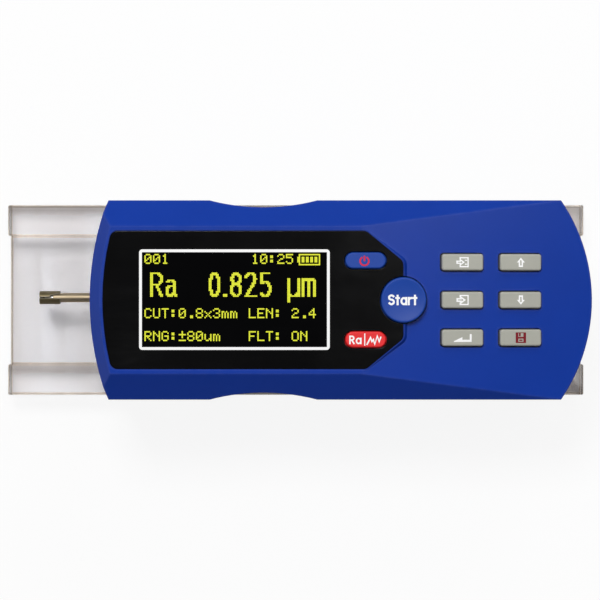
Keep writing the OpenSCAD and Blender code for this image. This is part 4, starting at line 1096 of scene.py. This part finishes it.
@dataclass(frozen=True)
class Lamp:
    """One soft light: its place and size in metres, and its power in watts."""

    name: str
    spot: Place
    size: float
    power: float

    def build(self) -> None:
        """Adds the light, aimed at the tester."""
        lamp = bpy.data.lights.new(self.name, "AREA")
        lamp.size = self.size
        lamp.energy = self.power
        holder = bpy.data.objects.new(self.name, lamp)
        holder.location = self.spot
        holder.rotation_euler = (Vector(TESTER_MIDDLE) - Vector(self.spot)).to_track_quat("-Z", "Y").to_euler()
        bpy.context.scene.collection.objects.link(holder)


LAMPS = (
    Lamp("key_light", (-0.16, 0.46, 1.2), 0.3, 10.2),
    Lamp("rear_light", (0.3, 0.9, 0.7), 0.4, 2.448),
    Lamp("sheen_light", (0.21, 0.15, 0.95), 0.3, 0.918),
)


@dataclass
class Studio:
    """Floor, soft light and the camera straight above. Lengths in metres.

    Attributes:
        eye: Place of the camera.
        lens: Focal length in millimetres.
        sensor: Width of the sensor in millimetres.
        reach: Half the floor's width.
        sunk: How far the floor lies under the stand.
        dome: Level of the dome as light.
        dimmed: Share of that level which reflections lose.
        white: Level of the dome and floor to the eye.
        shine: Level of the floor's own white in reflections.
        below: Level of it through the clear stand.
        through: Extra share of light on the floor seen through the stand.
    """

    eye: Place = (0.00126, 0.0, 0.85)
    lens: float = 170.0
    sensor: float = 36.0
    reach: float = 3.0
    sunk: float = 0.00005
    dome: float = 0.15
    dimmed: float = 0.6
    white: float = 0.9
    shine: float = 0.4
    below: float = 0.17
    through: float = 0.54

    def build(self) -> None:
        """Adds the stage."""
        self.floor()
        self.sky()
        for lamp in LAMPS:
            lamp.build()
        self.camera()

    def floor(self) -> None:
        """Plain pale floor that keeps the shadow."""
        corners = [(self.reach * x, self.reach * y, 0) for x, y in ((-1, -1), (1, -1), (1, 1), (-1, 1))]
        plane = new_mesh("floor", corners, [(0, 1, 2, 3)], Look.INK_WHITE)
        paper = bpy.data.materials.new("paper_floor")
        paper.use_nodes = True
        g = Graph(paper.node_tree)
        shader = paper.node_tree.nodes["Principled BSDF"]
        place = g.add("ShaderNodeTexCoord").outputs["Object"]
        fibre = g.add("ShaderNodeTexNoise", {"Vector": place, "Scale": 900.0, "Detail": 4.0}).outputs["Fac"]
        g.tree.links.new(g.mix(fibre, (0.93, 0.93, 0.93), (0.97, 0.97, 0.97)), shader.inputs["Base Color"])
        shader.inputs["Roughness"].default_value = 0.9
        shader.inputs["Specular IOR Level"].default_value = 0.0
        ray = g.add("ShaderNodeLightPath")
        white = g.add("ShaderNodeEmission", {"Color": (1.0, 1.0, 1.0, 1.0)})
        bent = ray.outputs["Is Transmission Ray"]
        share = g.math("MAXIMUM", g.math("MULTIPLY", ray.outputs["Is Camera Ray"], self.white),
                       g.math("MULTIPLY", ray.outputs["Is Glossy Ray"], self.shine))
        share = g.math("SUBTRACT", share, g.math("MULTIPLY", bent, self.shine - self.below))
        more = g.add("ShaderNodeBsdfDiffuse", {"Color": g.mix(bent, (0.0, 0.0, 0.0), (self.through,) * 3)})
        lit = g.add("ShaderNodeAddShader", {0: shader.outputs[0], 1: more.outputs[0]})
        both = g.add("ShaderNodeMixShader", {0: share, 1: lit.outputs[0], 2: white.outputs[0]})
        g.tree.links.new(both.outputs[0], paper.node_tree.nodes["Material Output"].inputs["Surface"])
        plane.data.materials.clear()
        plane.data.materials.append(paper)
        plane.location.z = -self.sunk

    def sky(self) -> None:
        """Dome that is white to the eye and through the clear stand, and dimmer in reflections and as light."""
        world = bpy.data.worlds.new("studio")
        bpy.context.scene.world = world
        world.use_nodes = True
        g = Graph(world.node_tree)
        back = world.node_tree.nodes["Background"]
        back.inputs["Color"].default_value = (1.0, 1.0, 1.0, 1.0)
        ray = g.add("ShaderNodeLightPath")
        first = g.math("LESS_THAN", ray.outputs["Diffuse Depth"], 0.5)
        bent = g.math("MULTIPLY", ray.outputs["Is Transmission Ray"], first)
        seen = g.math("MAXIMUM", ray.outputs["Is Camera Ray"], bent)
        dim = g.math("SUBTRACT", self.dome, g.math("MULTIPLY", ray.outputs["Is Glossy Ray"], self.dimmed * self.dome))
        level = g.math("MAXIMUM", dim, g.math("MULTIPLY", seen, self.white))
        g.tree.links.new(level, back.inputs["Strength"])

    def camera(self) -> None:
        """Camera straight above, with the keypad end at the right."""
        lens = bpy.data.cameras.new("camera")
        lens.lens = self.lens
        lens.sensor_width = self.sensor
        lens.clip_end = 20.0
        eye = bpy.data.objects.new("camera", lens)
        eye.location = self.eye
        bpy.context.scene.collection.objects.link(eye)
        bpy.context.scene.camera = eye
        bpy.context.scene.view_settings.view_transform = "Standard"


def main() -> None:
    """Builds the whole scene."""
    logging.basicConfig(level=logging.INFO, format="%(name)s: %(message)s")
    for name, make in (("finishes", Nodes().dress), ("stand", Stand().build), ("window", Window().build),
                       ("keys", Keys().build), ("studio", Studio().build)):
        make()
        LOG.info("%s done", name)


if __name__ == "__main__":
    main()
